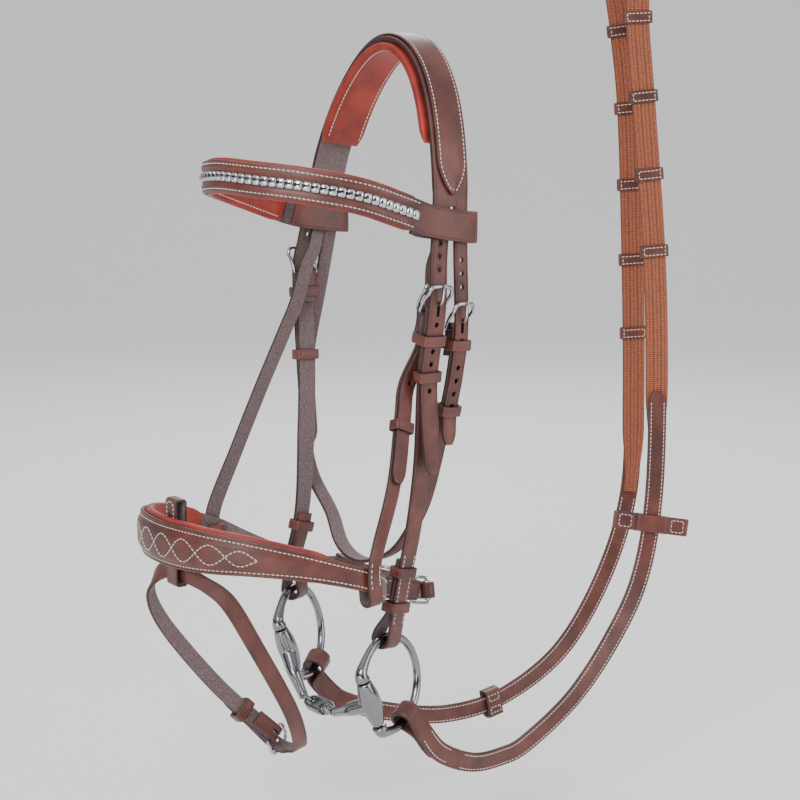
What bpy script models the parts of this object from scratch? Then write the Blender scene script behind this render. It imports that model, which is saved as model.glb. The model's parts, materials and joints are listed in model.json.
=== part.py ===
"""A snaffle bridle with its bit and reins.

The headstall stands as it would on a horse that faces -Y.  The horse's left
side is +X, +Z is up, and the origin is the middle of the headpiece's underside.
Lengths below are in millimetres and MM turns them into metres.
"""
import math

import bmesh
import bpy
from mathutils import Matrix, Vector

MM = 0.001
GAP = 0.35

# leather
CHEEK_WIDTH = 15.6
THIN_WIDTH = 12.6
STRAP_THICK = 3.0
CROWN_WIDTH = 32.0
CROWN_THICK = 4.0
LINING_WIDTH = 40.0
KEEPER_LENGTH = 8.0
KEEPER_WALL = 1.6
KEEPER_SLACK = 0.95

# crown arch, measured to the middle of the headpiece leather
CROWN_HALF_SPAN = 82.5
CROWN_DROP = 165.0
SEAT_RISE = 7.7
CROWN_TOP = 2.0
CROWN_SWEEP = math.radians(75.2)
CROWN_LEAN = -16.0
LINING_THICK = 6.0

# buckles
BAR_RADIUS = 1.2
FOLD_RADIUS = 3.3
FOLD_RETURN = 24.0
HOLE_LENGTH = 11.0
NOTCH_LENGTH = 14.0
UNDER_LAYER = -(STRAP_THICK + GAP + 0.25)

FLASH_LOOP_REAR = -16.4
FLASH_LOOP_FRONT = -12.3
FLASH_LOOP_TALL = 59.1
FLASH_LOOP_DROP = 2.5
ROLLER_INNER = 1.6
ROLLER_OUTER = 2.8
CHIN_LIFT = 3.6
THIN_THICK = 2.6
TIP_WIDTH = 5.0
SMALL_BUCKLE = 15.0
THROAT_HEEL = Vector((86.0, -10.4, -211.0))
CHEEK_KEEPER_DROP = {1: 21.0, -1: 16.0}

# bit
RING_RADIUS = 36.0
RING_WIRE = 3.0
BARREL_SETBACK = 26.0
LOOP_SLACK = 2.8
REIN_LOOP_SLACK = 4.0
RING_CENTRE = {1: Vector((55.0, -53.7, -482.3)), -1: Vector((-59.5, -56.6, -467.7))}
RING_YAW = {1: math.radians(17.0), -1: math.radians(-30.0)}
RING_LINE = (RING_CENTRE[1] - RING_CENTRE[-1]).normalized()
BARREL_AXIS = Vector((0.0, -0.36, 0.933)).normalized()
LOZENGE_CENTRE = Vector((0.0, -80.0, -509.0))
PIN_HALF = 20.2
PIN_RADIUS = 2.2
SHOULDER_RADIUS = 5.6
LINK_HALF = 16.3
LINK_HOLE = 11.0
LINK_HOLE_RADIUS = 4.1
EYE_RADIUS = 4.2
EYE_WIRE = 1.5

# reins
REIN_WIDTH = 16.0
REIN_OVERLAP = 60.0
WEB_WIDTH = 20.0
WEB_THICK = 2.4

LEATHER = (0.16, 0.045, 0.03)
LINING = (0.42, 0.06, 0.025)
WEBBING = (0.45, 0.15, 0.06)
STEEL = (0.8, 0.8, 0.82)


# ---------------------------------------------------------------- scene set-up

def clear_scene():
    for old in list(bpy.data.objects):
        bpy.data.objects.remove(old, do_unlink=True)


def new_collection(name):
    made = bpy.data.collections.new(name)
    bpy.context.scene.collection.children.link(made)
    return made


def new_material(name, colour, roughness, metallic=0.0):
    made = bpy.data.materials.new(name)
    made.use_nodes = True
    shader = made.node_tree.nodes["Principled BSDF"]
    shader.inputs["Base Color"].default_value = (*colour, 1.0)
    shader.inputs["Roughness"].default_value = roughness
    shader.inputs["Metallic"].default_value = metallic
    return made


def finish_object(made, colour, roughness=0.5, metallic=0.0, group=None):
    made.data.materials.append(new_material(made.name, colour, roughness, metallic))
    (group or PARTS).objects.link(made)
    return made


# -------------------------------------------------------------------- routes

def smooth_points(points, step):
    """Points about `step` apart on a smooth curve through the given ones."""
    ends = [points[0] * 2 - points[1]] + list(points) + [points[-1] * 2 - points[-2]]
    made = []
    for a, b, c, d in zip(ends, ends[1:], ends[2:], ends[3:]):
        count = max(1, round((c - b).length / step))
        for k in range(count):
            t = k / count
            cubic = 3 * b - a - 3 * c + d
            square = 2 * a - 5 * b + 4 * c - d
            made.append(0.5 * (2 * b + (c - a) * t + square * t * t + cubic * t ** 3))
    made.append(Vector(points[-1]))
    return made


class Route:
    """A strap's centre line, with its outward face known all along it."""

    def __init__(self, points, faces, step=12.0):
        """`points` are places, and `faces` the outward direction at each, or one for all."""
        points = [Vector(p) for p in points]
        if not isinstance(faces, list):
            faces = [faces] * len(points)
        faces = [Vector(face) for face in faces]
        self.places = smooth_points(points, step)
        self.far = [0.0]
        for a, b in zip(self.places, self.places[1:]):
            self.far.append(self.far[-1] + (b - a).length)
        marks = [self.nearest(p) for p in points]
        self.faces = []
        for far in self.far:
            k = max(i for i, mark in enumerate(marks) if mark <= far + 1e-6)
            k = min(k, len(marks) - 2)
            part = (far - marks[k]) / max(marks[k + 1] - marks[k], 1e-6)
            self.faces.append(faces[k].lerp(faces[k + 1], part))
        self.length = self.far[-1]

    def nearest(self, place):
        distances = [(p - Vector(place)).length for p in self.places]
        return self.far[distances.index(min(distances))]

    def at(self, far):
        """Place, along, across and outward directions at a distance along the route."""
        k = max(i for i, mark in enumerate(self.far) if mark <= max(far, 0.0) + 1e-6)
        k = min(k, len(self.far) - 2)
        part = (far - self.far[k]) / (self.far[k + 1] - self.far[k])
        place = self.places[k].lerp(self.places[k + 1], part)
        before = self.places[max(k - 1, 0)]
        after = self.places[min(k + 2, len(self.places) - 1)]
        middle = (self.places[k + 1] - self.places[k]).normalized()
        start = (self.places[k + 1] - before).normalized()
        end = (after - self.places[k]).normalized()
        along = start.lerp(end, min(max(part, 0.0), 1.0)).normalized() if 0 <= part <= 1 else middle
        face = self.faces[k].lerp(self.faces[k + 1], min(max(part, 0.0), 1.0))
        across = along.cross(face).normalized()
        outward = across.cross(along).normalized()
        return place, along, across, outward

    def spot(self, far, side=0.0, out=0.0):
        place, _, across, outward = self.at(far)
        return place + across * side + outward * out

    def run(self, start, end, step=12.0, side=0.0, out=0.0):
        """Places, across and outward directions from start to end."""
        count = max(2, round(abs(end - start) / step))
        rows = []
        for k in range(count + 1):
            far = start + (end - start) * k / count
            _, _, across, outward = self.at(far)
            rows.append((self.spot(far, side, out), across, outward))
        return rows


# ------------------------------------------------------------- shape builders

def strip_object(name, rows, widths, thick, colour, roughness=0.5, closed=False):
    """A strap: one row of faces along `rows`, made solid about its middle."""
    shape = bmesh.new()
    lines = []
    for (place, across, _), width in zip(rows, widths):
        left = shape.verts.new((place - across * width / 2) * MM)
        right = shape.verts.new((place + across * width / 2) * MM)
        lines.append((left, right))
    pairs = list(zip(lines, lines[1:]))
    if closed:
        pairs.append((lines[-1], lines[0]))
    for (a, b), (c, d) in pairs:
        shape.faces.new((a, b, d, c))
    mesh = bpy.data.meshes.new(name)
    shape.to_mesh(mesh)
    shape.free()
    made = bpy.data.objects.new(name, mesh)
    wall = made.modifiers.new("thickness", "SOLIDIFY")
    wall.thickness = thick * MM
    wall.offset = 0.0
    wall.use_even_offset = True
    return finish_object(made, colour, roughness)


def tapered(rows, width, start_tip=False, end_tip=False, tip=0.35):
    widths = [width] * len(rows)
    if start_tip:
        widths[0] = width * tip
    if end_tip:
        widths[-1] = width * tip
    return widths


def strap(name, route, start, end, width, thick=STRAP_THICK, out=0.0, side=0.0,
          step=14.0, end_tip=False, start_tip=False, colour=LEATHER):
    rows = route.run(start, end, step, side, out)
    return strip_object(name, rows, tapered(rows, width, start_tip, end_tip), thick, colour)


def folded_rows(route, start, end, out, fold_start=None, fold_end=None, step=14.0):
    """Rows of a strap that turns back on itself round a bar at either end.

    A fold is (radius, depth, back): it turns round a bar `depth` below the
    strap's middle and runs back for `back` under the strap.
    """
    rows = []
    if fold_start:
        rows += fold_rows(route, start, out, fold_start, -1.0)[::-1]
    rows += route.run(start, end, step, 0.0, out)
    if fold_end:
        rows += fold_rows(route, end, out, fold_end, 1.0)
    return rows


def fold_rows(route, far, out, fold, way, closing=2.4):
    """The half turn beyond `far` and the stretch that lies back under the strap."""
    radius, back, rest = fold
    place, along, across, outward = route.at(far)
    centre = place + outward * (out - radius)
    rows = []
    for k in range(1, 7):
        turn = math.pi * k / 6
        swing = along * (way * math.sin(turn) * radius) + outward * (math.cos(turn) * radius)
        rows.append((centre + swing, across, outward))
    for share in (0.35, 0.7, 1.0):
        travel = far - way * back * share
        _, _, cross, face = route.at(travel)
        depth = out - 2 * radius + (2 * radius - rest) * min(1.0, share * closing)
        rows.append((route.spot(travel, 0.0, depth), cross, face))
    return rows


def folded_strap(name, rows, width, thick=STRAP_THICK, colour=LEATHER):
    return strip_object(name, rows, [width] * len(rows), thick, colour)


def keeper(name, route, far, low, high, width, length=KEEPER_LENGTH, wall=KEEPER_WALL, side=0.0):
    """A closed leather band round everything from `low` to `high` on the strap."""
    place, along, across, outward = route.at(far)
    half = width / 2 + KEEPER_SLACK + wall / 2
    top = high + KEEPER_SLACK + wall / 2
    bottom = low - KEEPER_SLACK - wall / 2
    corners = [(-half, bottom), (half, bottom), (half, top), (-half, top)]
    rows = []
    for (x, y), (x_next, y_next) in zip(corners, corners[1:] + corners[:1]):
        for share in (0.12, 0.88):
            spot = place + across * (side + x + (x_next - x) * share)
            spot = spot + outward * (y + (y_next - y) * share)
            rows.append((spot, along, outward))
    rows.reverse()
    return strip_object(name, rows, [length] * len(rows), wall, LEATHER, closed=True)


def wire(name, points, radius, closed=False, colour=STEEL, resolution=2):
    data = bpy.data.curves.new(name, "CURVE")
    data.dimensions = "3D"
    data.bevel_depth = radius * MM
    data.bevel_resolution = resolution
    data.use_fill_caps = not closed
    data.render_resolution_u = 0
    line = data.splines.new("POLY")
    line.points.add(len(points) - 1)
    for point, place in zip(line.points, points):
        point.co = (*(Vector(place) * MM), 1.0)
    line.use_cyclic_u = closed
    made = bpy.data.objects.new(name, data)
    return finish_object(made, colour, 0.15, 1.0)


def set_pivot(made, place):
    """Moves an object's origin to `place` and leaves its shape where it is."""
    offset = Vector(place) * MM - made.location
    made.data.transform(Matrix.Translation(-offset))
    made.location = made.location + offset
    return made


def buckle(prefix, route, far, width, billet_out=0.0, fold_out=UNDER_LAYER, point=-1.0, height=19.0):
    """A heel-bar buckle and its tongue.

    The heel bar runs through the folded strap, and the frame reaches `height`
    along the route in the direction `point`, over the billet.
    """
    place, along, across, outward = route.at(far)
    heel = fold_out - FOLD_RADIUS
    top = billet_out + STRAP_THICK / 2 + GAP + BAR_RADIUS
    half = width / 2 + GAP + BAR_RADIUS + 1.0
    ahead = along * point

    def spot(side, reach, out):
        return place + across * side + ahead * reach + outward * out

    outline = [(-half, 0, heel), (half, 0, heel), (half + 0.5, height * 0.5, (heel + top) / 2)]
    outline += [(half, height - 2.5, top - 0.6), (half - 2.5, height, top), (0.0, height, top + 0.7)]
    outline += [(2.5 - half, height, top), (-half, height - 2.5, top - 0.6)]
    outline += [(-half - 0.5, height * 0.5, (heel + top) / 2)]
    frame = wire(prefix + "_buckle", [spot(*p) for p in outline], BAR_RADIUS, closed=True)
    hook = BAR_RADIUS + 0.95
    rest = top + 0.7 + BAR_RADIUS + GAP + 0.6
    path = []
    for turn in range(-40, -300, -50):
        angle = math.radians(turn)
        path.append((0.0, math.cos(angle) * hook, heel + math.sin(angle) * hook))
    path += [(0.0, 3.4, billet_out - 1.2), (0.0, 6.2, rest - 2.6), (0.0, 10.0, rest - 0.3)]
    path.append((0.0, height + 2.4, rest))
    tongue = wire(prefix + "_tongue", [spot(*p) for p in path], 0.6)
    mark_joint(prefix + "_tongue", spot(0, 0, heel), ahead.cross(outward), tongue)
    return frame


def mark_joint(name, place, axis, *pieces):
    """An empty on a joint's axis, its Z along the axis, and the pieces' origins with it."""
    empty = bpy.data.objects.new("axis_" + name, None)
    empty.location = place * MM
    empty.rotation_mode = "QUATERNION"
    empty.rotation_quaternion = Vector((0, 0, 1)).rotation_difference(axis)
    PARTS.objects.link(empty)
    for piece in pieces:
        set_pivot(piece, place)


def box_cutter(name, place, along, across, outward, sizes):
    shape = bmesh.new()
    bmesh.ops.create_cube(shape, size=1.0)
    frame = Matrix((along * sizes[0], across * sizes[1], outward * sizes[2])).transposed()
    bmesh.ops.transform(shape, matrix=frame.to_4x4(), verts=shape.verts)
    bmesh.ops.translate(shape, vec=place, verts=shape.verts)
    bmesh.ops.scale(shape, vec=(MM, MM, MM), verts=shape.verts)
    bmesh.ops.recalc_face_normals(shape, faces=shape.faces)
    mesh = bpy.data.meshes.new(name)
    shape.to_mesh(mesh)
    shape.free()
    made = bpy.data.objects.new(name, mesh)
    made.hide_render = True
    made.display_type = "WIRE"
    CUTTERS.objects.link(made)
    return made


def cut(made, cutter):
    change = made.modifiers.new(cutter.name, "BOOLEAN")
    change.operation = "DIFFERENCE"
    change.object = cutter


def tongue_slots(prefix, route, far, billet, folded, point=-1.0, billet_out=0.0):
    """The hole in the billet and the notch in the fold that a tongue passes through."""
    place, along, across, outward = route.at(far)
    ahead = along * point
    if billet:
        sizes = (HOLE_LENGTH, 2.6, 8.0)
        middle = place + ahead * 2.6 + outward * billet_out
        cut(billet, box_cutter(prefix + "_hole_cut", middle, along, across, outward, sizes))
    if folded:
        sizes = (NOTCH_LENGTH, 3.0, 40.0)
        cut(folded, box_cutter(prefix + "_notch_cut", place + ahead * 3.0, along, across, outward, sizes))


# ---------------------------------------------------------------- headpiece

def crown_place(turn, out=0.0):
    """A point of the arch over the poll, `turn` radians from its top."""
    side = (CROWN_HALF_SPAN + out) * math.sin(turn)
    height = CROWN_TOP + out - (CROWN_DROP + out) * (1.0 - math.cos(turn))
    lean = CROWN_LEAN * abs(math.sin(turn) / math.sin(CROWN_SWEEP)) ** 3
    return Vector((side, lean, height))


def crown_route():
    """The whole arch, from the off side over the poll to the near side."""
    turns = [CROWN_SWEEP * k / 8 for k in range(-8, 9)]
    points = [crown_place(turn) for turn in turns]
    faces = [Vector((math.sin(turn), 0.0, 0.55 * math.cos(turn))) for turn in turns]
    return Route(points, faces, step=14.0)


def mirrored(points, side):
    return [(x * side, y, z) for x, y, z in points]


def cheek_heel(side):
    """Where the cheek buckle's heel bar stands: lower on the near side."""
    return Vector((87.0, -34.3, -197.0)) if side > 0 else Vector((-87.0, -34.0, -179.0))


def cheek_route(side):
    top = [(79.8, -24.7, -121), (82, -26.7, -134), (84.6, -31, -157)]
    if side > 0:
        low = [(80, -36, -245), (73, -34, -310), (67, -36.5, -360), (63, -44.5, -410), (61.6, -50.9, -447.5)]
        turned = [(1, 0.1, -0.1), (1, 0.2, -0.1), (0.96, 0.27, -0.1)]
    else:
        low = [(80, -36, -245), (75, -41, -310), (72, -48, -368), (74, -57.5, -405), (76.4, -61.6, -432)]
        turned = [(1, -0.2, -0.1), (1, -0.4, 0), (0.888, -0.457, 0.046)]
    points = mirrored(top, side) + [cheek_heel(side)] + mirrored(low, side)
    faces = [(1, 0, 0.1), (1, 0, 0), (1, 0, 0), (1, 0, -0.05), (1, 0.03, -0.1), (1, 0.06, -0.1)] + turned
    return Route(points, [Vector(f) for f in mirrored(faces, side)], step=11.0)


def cheek_billet_route(side):
    top = [(78.1, -23.2, -110), (79.8, -24.7, -121), (82, -26.7, -134), (84.6, -31, -157)]
    low = [(80, -36, -245), (79, -34, -284), (80, -31, -318)]
    points = mirrored(top, side) + [cheek_heel(side)] + mirrored(low, side)
    return Route(points, Vector((side, 0, 0)), step=11.0)


def throat_billet_route():
    points = [(78.1, -5.3, -110), (79.8, -6.8, -121), (82, -8.6, -134), (84.6, -10.4, -157), THROAT_HEEL,
              (82.5, -12, -245), (79, -15, -272), (80, -17, -298)]
    return Route(points, Vector((1, 0, 0)), step=11.0)


def set_aside(tool):
    """Moves a shape that only cuts or joins others out of the part."""
    PARTS.objects.unlink(tool)
    CUTTERS.objects.link(tool)
    tool.hide_render = True
    tool.display_type = "WIRE"


def unite(base, extra):
    """Makes `extra` part of `base`."""
    change = base.modifiers.new("with_" + extra.name, "BOOLEAN")
    change.operation = "UNION"
    change.object = extra
    set_aside(extra)


def build_headpiece(routes):
    crown = crown_route()
    headpiece = strap("headpiece", crown, 0.0, crown.length, CROWN_WIDTH, CROWN_THICK)
    for name, route in routes.items():
        width = THIN_WIDTH if "throat" in name else CHEEK_WIDTH
        billet = strap(name, route, 0.0, route.length, width, end_tip=True, step=11.0)
        unite(headpiece, billet)
    pad_out = -(CROWN_THICK / 2 + 2 * GAP + LINING_THICK / 2)
    skip = 47.0
    strap("crown_lining", crown, skip, crown.length - skip, LINING_WIDTH, LINING_THICK, out=pad_out,
          step=13.0, colour=LINING)
    over_out = CROWN_THICK / 2 + GAP + 1.0
    strap("crown_overlay", crown, 8.0, crown.length - 8.0, 27.0, 2.0, out=over_out,
          start_tip=True, end_tip=True)
    return headpiece


# ----------------------------------------------------------------- browband

def browband_route():
    half = [(75.9, -47, -129), (73.9, -36.8, -132), (72.9, -2.8, -136), (76.9, 5.2, -136.5),
            (84.9, 4.2, -136.5), (87.8, -3.8, -136.5), (87.6, -37.8, -131), (87.6, -66, -122),
            (84, -100, -111.5), (62, -134, -104), (32, -156, -100)]
    faces = [(-1, 0, 0), (-1, 0, 0), (-1, 0.1, 0), (-0.5, 1, 0), (0.5, 1, 0), (1, 0.1, 0), (1, 0, 0),
             (1, -0.1, 0), (1, -0.4, 0), (1, -1.1, 0), (0.4, -1, 0)]
    points = half + [(0, -163, -98)] + mirrored(half, -1)[::-1]
    outward = faces + [(0, -1, 0)] + mirrored(faces, -1)[::-1]
    return Route(points, [Vector(f) for f in outward], step=9.0)


def build_browband():
    route = browband_route()
    strap("browband", route, 0.0, route.length, 23.0, 2.4, step=9.0)
    start = route.nearest((86.6, -51, -127))
    strap("browband_lining", route, start, route.length - start, 26.0, 4.0, out=-3.6, colour=LINING)
    strap("browband_clincher", route, start + 1.0, route.length - start - 1.0, 6.5, 1.6, out=2.7,
          colour=STEEL)


# ------------------------------------------------------- cheekpieces and bit

def ring_frame(side):
    """The bit ring's own directions: out to its rear, and up along its barrel."""
    lateral = Vector((1.0, 0.0, 0.0)) * side
    rearward = lateral.cross(BARREL_AXIS)
    if rearward.y < 0:
        rearward = -rearward
    rearward = rearward.normalized()
    return rearward * math.cos(RING_YAW[side]) - lateral * math.sin(RING_YAW[side]), BARREL_AXIS.copy()


def ring_place(side, turn):
    back, up = ring_frame(side)
    return RING_CENTRE[side] + (back * math.cos(turn) + up * math.sin(turn)) * RING_RADIUS


def build_cheek(name, side, billet):
    route = cheek_route(side)
    buckle_far = route.nearest(cheek_heel(side))
    bit_far = route.length
    loop_radius = RING_WIRE + LOOP_SLACK + STRAP_THICK / 2
    rows = folded_rows(route, buckle_far, bit_far, UNDER_LAYER, (FOLD_RADIUS, FOLD_RETURN, 2 * FOLD_RADIUS),
                       (loop_radius, 62.0, STRAP_THICK + GAP + 0.3))
    piece = folded_strap(name + "_cheekpiece", rows, CHEEK_WIDTH)
    buckle(name + "_cheek", route, buckle_far, CHEEK_WIDTH)
    tongue_slots(name + "_cheek", route, buckle_far, billet, piece)
    inner = UNDER_LAYER - STRAP_THICK / 2
    outer = STRAP_THICK / 2
    folded_in = UNDER_LAYER - 2 * FOLD_RADIUS - STRAP_THICK / 2
    keeper(name + "_cheek_keeper_fixed", route, buckle_far + CHEEK_KEEPER_DROP[side], folded_in, outer,
           CHEEK_WIDTH)
    slider_far = route.nearest((80 * side, -36, -245))
    slider = keeper(name + "_cheek_keeper_sliding", route, slider_far, inner, outer + 0.1, CHEEK_WIDTH)
    place, along, _, _ = route.at(slider_far)
    mark_joint(name + "_cheek_keeper_slide", place, along, slider)
    back_in = UNDER_LAYER - STRAP_THICK - GAP - 0.3 - STRAP_THICK / 2
    keeper(name + "_bit_keeper_upper", route, bit_far - 52.0, back_in - 0.6, UNDER_LAYER + STRAP_THICK / 2,
           CHEEK_WIDTH)
    keeper(name + "_bit_keeper_lower", route, bit_far - 25.0, back_in - 2.4, UNDER_LAYER + STRAP_THICK / 2,
           CHEEK_WIDTH)


# ---------------------------------------------------------------- throatlatch

def throatlatch_route():
    points = [(82, -8.6, -134), (84.6, -10.4, -157), THROAT_HEEL, (82.5, -12, -245), (78.5, -15, -272),
              (61, -18, -336), (46, -21, -368), (28, -28, -392), (0, -37, -403), (-30, -36, -396),
              (-62, -25, -375), (-88, -26, -346), (-98, -26, -310), (-98, -23, -250), (-91.5, -14, -190),
              (-86, -10.6, -157), (-81.4, -8.8, -134), (-80.1, -7.4, -124.5)]
    faces = [(1, 0, 0), (1, 0, 0), (1, 0, 0), (1, 0, 0), (1, 0, -0.1), (1, 0, -0.4), (1, 0, -0.8),
             (0.5, 0, -1), (0, 0, -1), (-0.5, 0, -1), (-1, 0, -1), (-1, 0, -0.4), (-1, 0, 0), (-1, 0, 0),
             (-1, 0, 0),
             (-1, 0, 0), (-1, 0, 0.1), (-1, 0, 0.15)]
    return Route(points, [Vector(f) for f in faces], step=14.0)


def build_throatlatch(billet):
    route = throatlatch_route()
    buckle_far = route.nearest(THROAT_HEEL)
    rows = folded_rows(route, buckle_far, route.length, UNDER_LAYER, (FOLD_RADIUS, 22.0, 2 * FOLD_RADIUS))
    piece = folded_strap("throatlatch", rows, THIN_WIDTH)
    buckle("throat", route, buckle_far, THIN_WIDTH)
    tongue_slots("throat", route, buckle_far, billet, piece)
    inner = UNDER_LAYER - STRAP_THICK / 2
    folded_in = UNDER_LAYER - 2 * FOLD_RADIUS - STRAP_THICK / 2
    keeper("throat_keeper_fixed", route, buckle_far + 12.0, folded_in, STRAP_THICK / 2, THIN_WIDTH)
    slider_far = route.nearest((78.5, -15, -272))
    slider = keeper("throat_keeper_sliding", route, slider_far, inner, STRAP_THICK / 2 + 1.0, THIN_WIDTH)
    place, along, _, _ = route.at(slider_far)
    mark_joint("throat_keeper_slide", place, along, slider)


# ------------------------------------------------------------------- noseband

def noseband_route():
    """From the near end behind the jaw, round the nose, to the off end."""
    sides = [(40.5, -47, -411), (53.5, -65, -406.5), (76, -76, -401), (95, -90, -393), (105.6, -107, -383),
             (102, -132, -374), (90, -160, -366), (68, -190, -360), (38, -210, -358)]
    faces = [(1, 0.25, 0), (0.7, 0.75, 0), (0.66, 0.75, 0), (0.8, 0.6, 0), (1, 0.1, 0), (1, -0.3, 0),
             (1, -0.65, 0), (0.6, -1, 0), (0.25, -1, 0)]
    near_end = [(40, -16, -419), (41, -31, -415)]
    off_end = [(-42, -33, -414), (-36, -20, -418), (-26, -10, -422)]
    points = near_end + sides + [(0, -216, -358)] + mirrored(sides, -1)[::-1] + off_end
    outward = [(1, 0, 0), (1, 0.05, 0)] + faces + [(0, -1, 0)] + mirrored(faces, -1)[::-1]
    outward += [(-1, 0.2, 0), (-0.8, 0.6, 0), (-0.7, 0.7, 0)]
    return Route(points, [Vector(f) for f in outward], step=11.0)


def noseband_width(share):
    """Height of the noseband: full at the front, narrow where it passes the cheeks."""
    front = 1.0 - abs(share - 0.5) * 2.0
    blend = min(max((front - 0.45) / 0.5, 0.0), 1.0)
    return 17.0 + 15.0 * blend * blend * (3.0 - 2.0 * blend)


def build_noseband():
    route = noseband_route()
    rows = folded_rows(route, 0.0, route.length, 0.0, (FOLD_RADIUS, 20.0, 2 * FOLD_RADIUS),
                       (FOLD_RADIUS, 20.0, 2 * FOLD_RADIUS))
    ends = 9
    inner = len(rows) - 2 * ends
    widths = [15.6] * ends + [noseband_width(k / (inner - 1)) for k in range(inner)] + [15.6] * ends
    widths[ends] = 15.6
    widths[-ends - 1] = 15.6
    noseband = strip_object("noseband", rows, widths, STRAP_THICK, LEATHER)
    start = route.nearest((101, -138, -372))
    pad = route.run(start, route.length - start, 13.0, 0.0, -(STRAP_THICK / 2 + GAP + 3.7))
    padded = route.length - 2 * start
    shares = [(start + padded * k / (len(pad) - 1)) / route.length for k in range(len(pad))]
    pad_widths = [noseband_width(share) + 3.0 for share in shares]
    strip_object("noseband_lining", pad, pad_widths, 6.4, LINING)
    return route, noseband


def build_flash_loop(route):
    """A band behind the noseband: a tab above it, and a loop below it for the flash strap."""
    _, _, across, _ = route.at(route.length / 2)
    drop = FLASH_LOOP_DROP * (1.0 if across.z < 0 else -1.0)
    keeper("flash_loop", route, route.length / 2, FLASH_LOOP_REAR, FLASH_LOOP_FRONT, FLASH_LOOP_TALL,
           length=15.0, wall=2.0, side=drop)


def hanger_route(side):
    upper = [(74.3, -19.5, -110), (76.2, -21, -121), (78.6, -22.5, -134), (78.2, -23.5, -146)]
    if side > 0:
        middle = [(69.2, -23.5, -163), (67.2, -23, -180), (67, -23, -207), (67, -31, -228),
                  (68.4, -46.5, -252)]
        lower = [(75.5, -55.4, -273), (93, -76, -320), (111.6, -106.5, -368), (113.4, -107, -394)]
    else:
        middle = [(71.5, -32, -160), (69.5, -41, -174), (69.4, -50, -200), (76, -58, -225)]
        lower = [(88, -73, -270), (99, -90, -320), (108.2, -106.5, -368), (109.8, -107, -394)]
    points = upper + middle + lower
    faces = [(1, 0, 0.15), (1, 0, 0.1), (1, 0, 0)] + [(1, 0, 0)] * (len(points) - 5) + [(1, 0.16, 0)] * 2
    return Route(mirrored(points, side), [Vector(f) for f in mirrored(faces, side)], step=10.0)


def build_hangers():
    wrap_radius = STRAP_THICK / 2 + GAP + 1.3 + 1.9
    wrap = (wrap_radius, 16.0, 2 * wrap_radius)
    off = hanger_route(-1)
    rows = folded_rows(off, 0.0, off.length, 0.0, None, wrap)
    folded_strap("off_noseband_hanger", rows, THIN_WIDTH, THIN_THICK)
    near = hanger_route(1)
    buckle_far = near.nearest((67.9, -23, -195))
    rows = folded_rows(near, buckle_far, near.length, UNDER_LAYER, (FOLD_RADIUS, 22.0, 2 * FOLD_RADIUS), wrap)
    lower = folded_strap("near_noseband_hanger", rows, THIN_WIDTH, THIN_THICK)
    billet = strap("near_noseband_billet", near, 0.0, near.nearest((92.3, -75, -318)), THIN_WIDTH,
                   THIN_THICK, end_tip=True, step=11.0)
    buckle("near_hanger", near, buckle_far, THIN_WIDTH)
    tongue_slots("near_hanger", near, buckle_far, billet, lower)
    keeper_far = near.nearest((78, -58, -279))
    keeper("near_hanger_keeper", near, keeper_far, UNDER_LAYER - 1.3, 1.3, THIN_WIDTH)


# ------------------------------------------------------- strap under the jaw

def chin_route():
    """From the roller behind the near end, under the jaw, and over the off end."""
    points = [(40.5, 0.4, -421), (26, 5, -425), (8, 9, -427.5), (-6, 9, -427), (-18, 2.8, -424.8),
              (-28.5, -7.5, -422), (-38.9, -17.8, -418), (-45.4, -30.5, -414.6), (-46.3, -36.5, -413)]
    faces = [(0.35, 1, 0), (0.2, 1, 0), (0, 1, 0), (-0.3, 1, 0), (-0.65, 0.75, 0), (-0.7, 0.7, 0),
             (-0.8, 0.6, 0), (-1, 0.25, 0), (-1, 0.2, 0)]
    return Route(points, [Vector(f) for f in faces], step=9.0)


def build_chin_strap(noseband_line, noseband):
    """The link with its roller, the strap under the jaw and its buckle."""
    start, _, across, outward = noseband_line.at(0.0)
    first = start - outward * FOLD_RADIUS
    route = chin_route()
    place, _, roller_axis, rear = route.at(0.0)
    turn_radius = ROLLER_OUTER + 0.6 + 1.3
    second = place - rear * turn_radius
    lift = across if across.z > 0 else -across
    axis = roller_axis if roller_axis.z > 0 else -roller_axis
    half = CHEEK_WIDTH / 2 + 2.2
    corners = [first + lift * half, first - lift * half, second - axis * half, second + axis * half]
    wire("chin_link", corners, BAR_RADIUS, closed=True)
    roller = tube("chin_roller", second, axis, ROLLER_INNER, ROLLER_OUTER, CHEEK_WIDTH)
    mark_joint("chin_roller_turn", second, axis, roller)
    rows = folded_rows(route, 0.0, route.length, 0.0, (turn_radius, 24.0, 7.6), step=9.0)
    widths = [THIN_WIDTH] * (len(rows) - 1) + [TIP_WIDTH]
    billet = strip_object("chin_strap", rows, widths, THIN_THICK, LEATHER)
    buckle("chin", noseband_line, noseband_line.length, CHEEK_WIDTH - 2.0, CHIN_LIFT, 0.0, 1.0, SMALL_BUCKLE)
    tongue_slots("chin", noseband_line, noseband_line.length, billet, noseband, 1.0, CHIN_LIFT)
    keeper("chin_keeper", noseband_line, noseband_line.length - 26.0, -2 * FOLD_RADIUS - STRAP_THICK / 2,
           CHIN_LIFT + 1.6, CHEEK_WIDTH)


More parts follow.
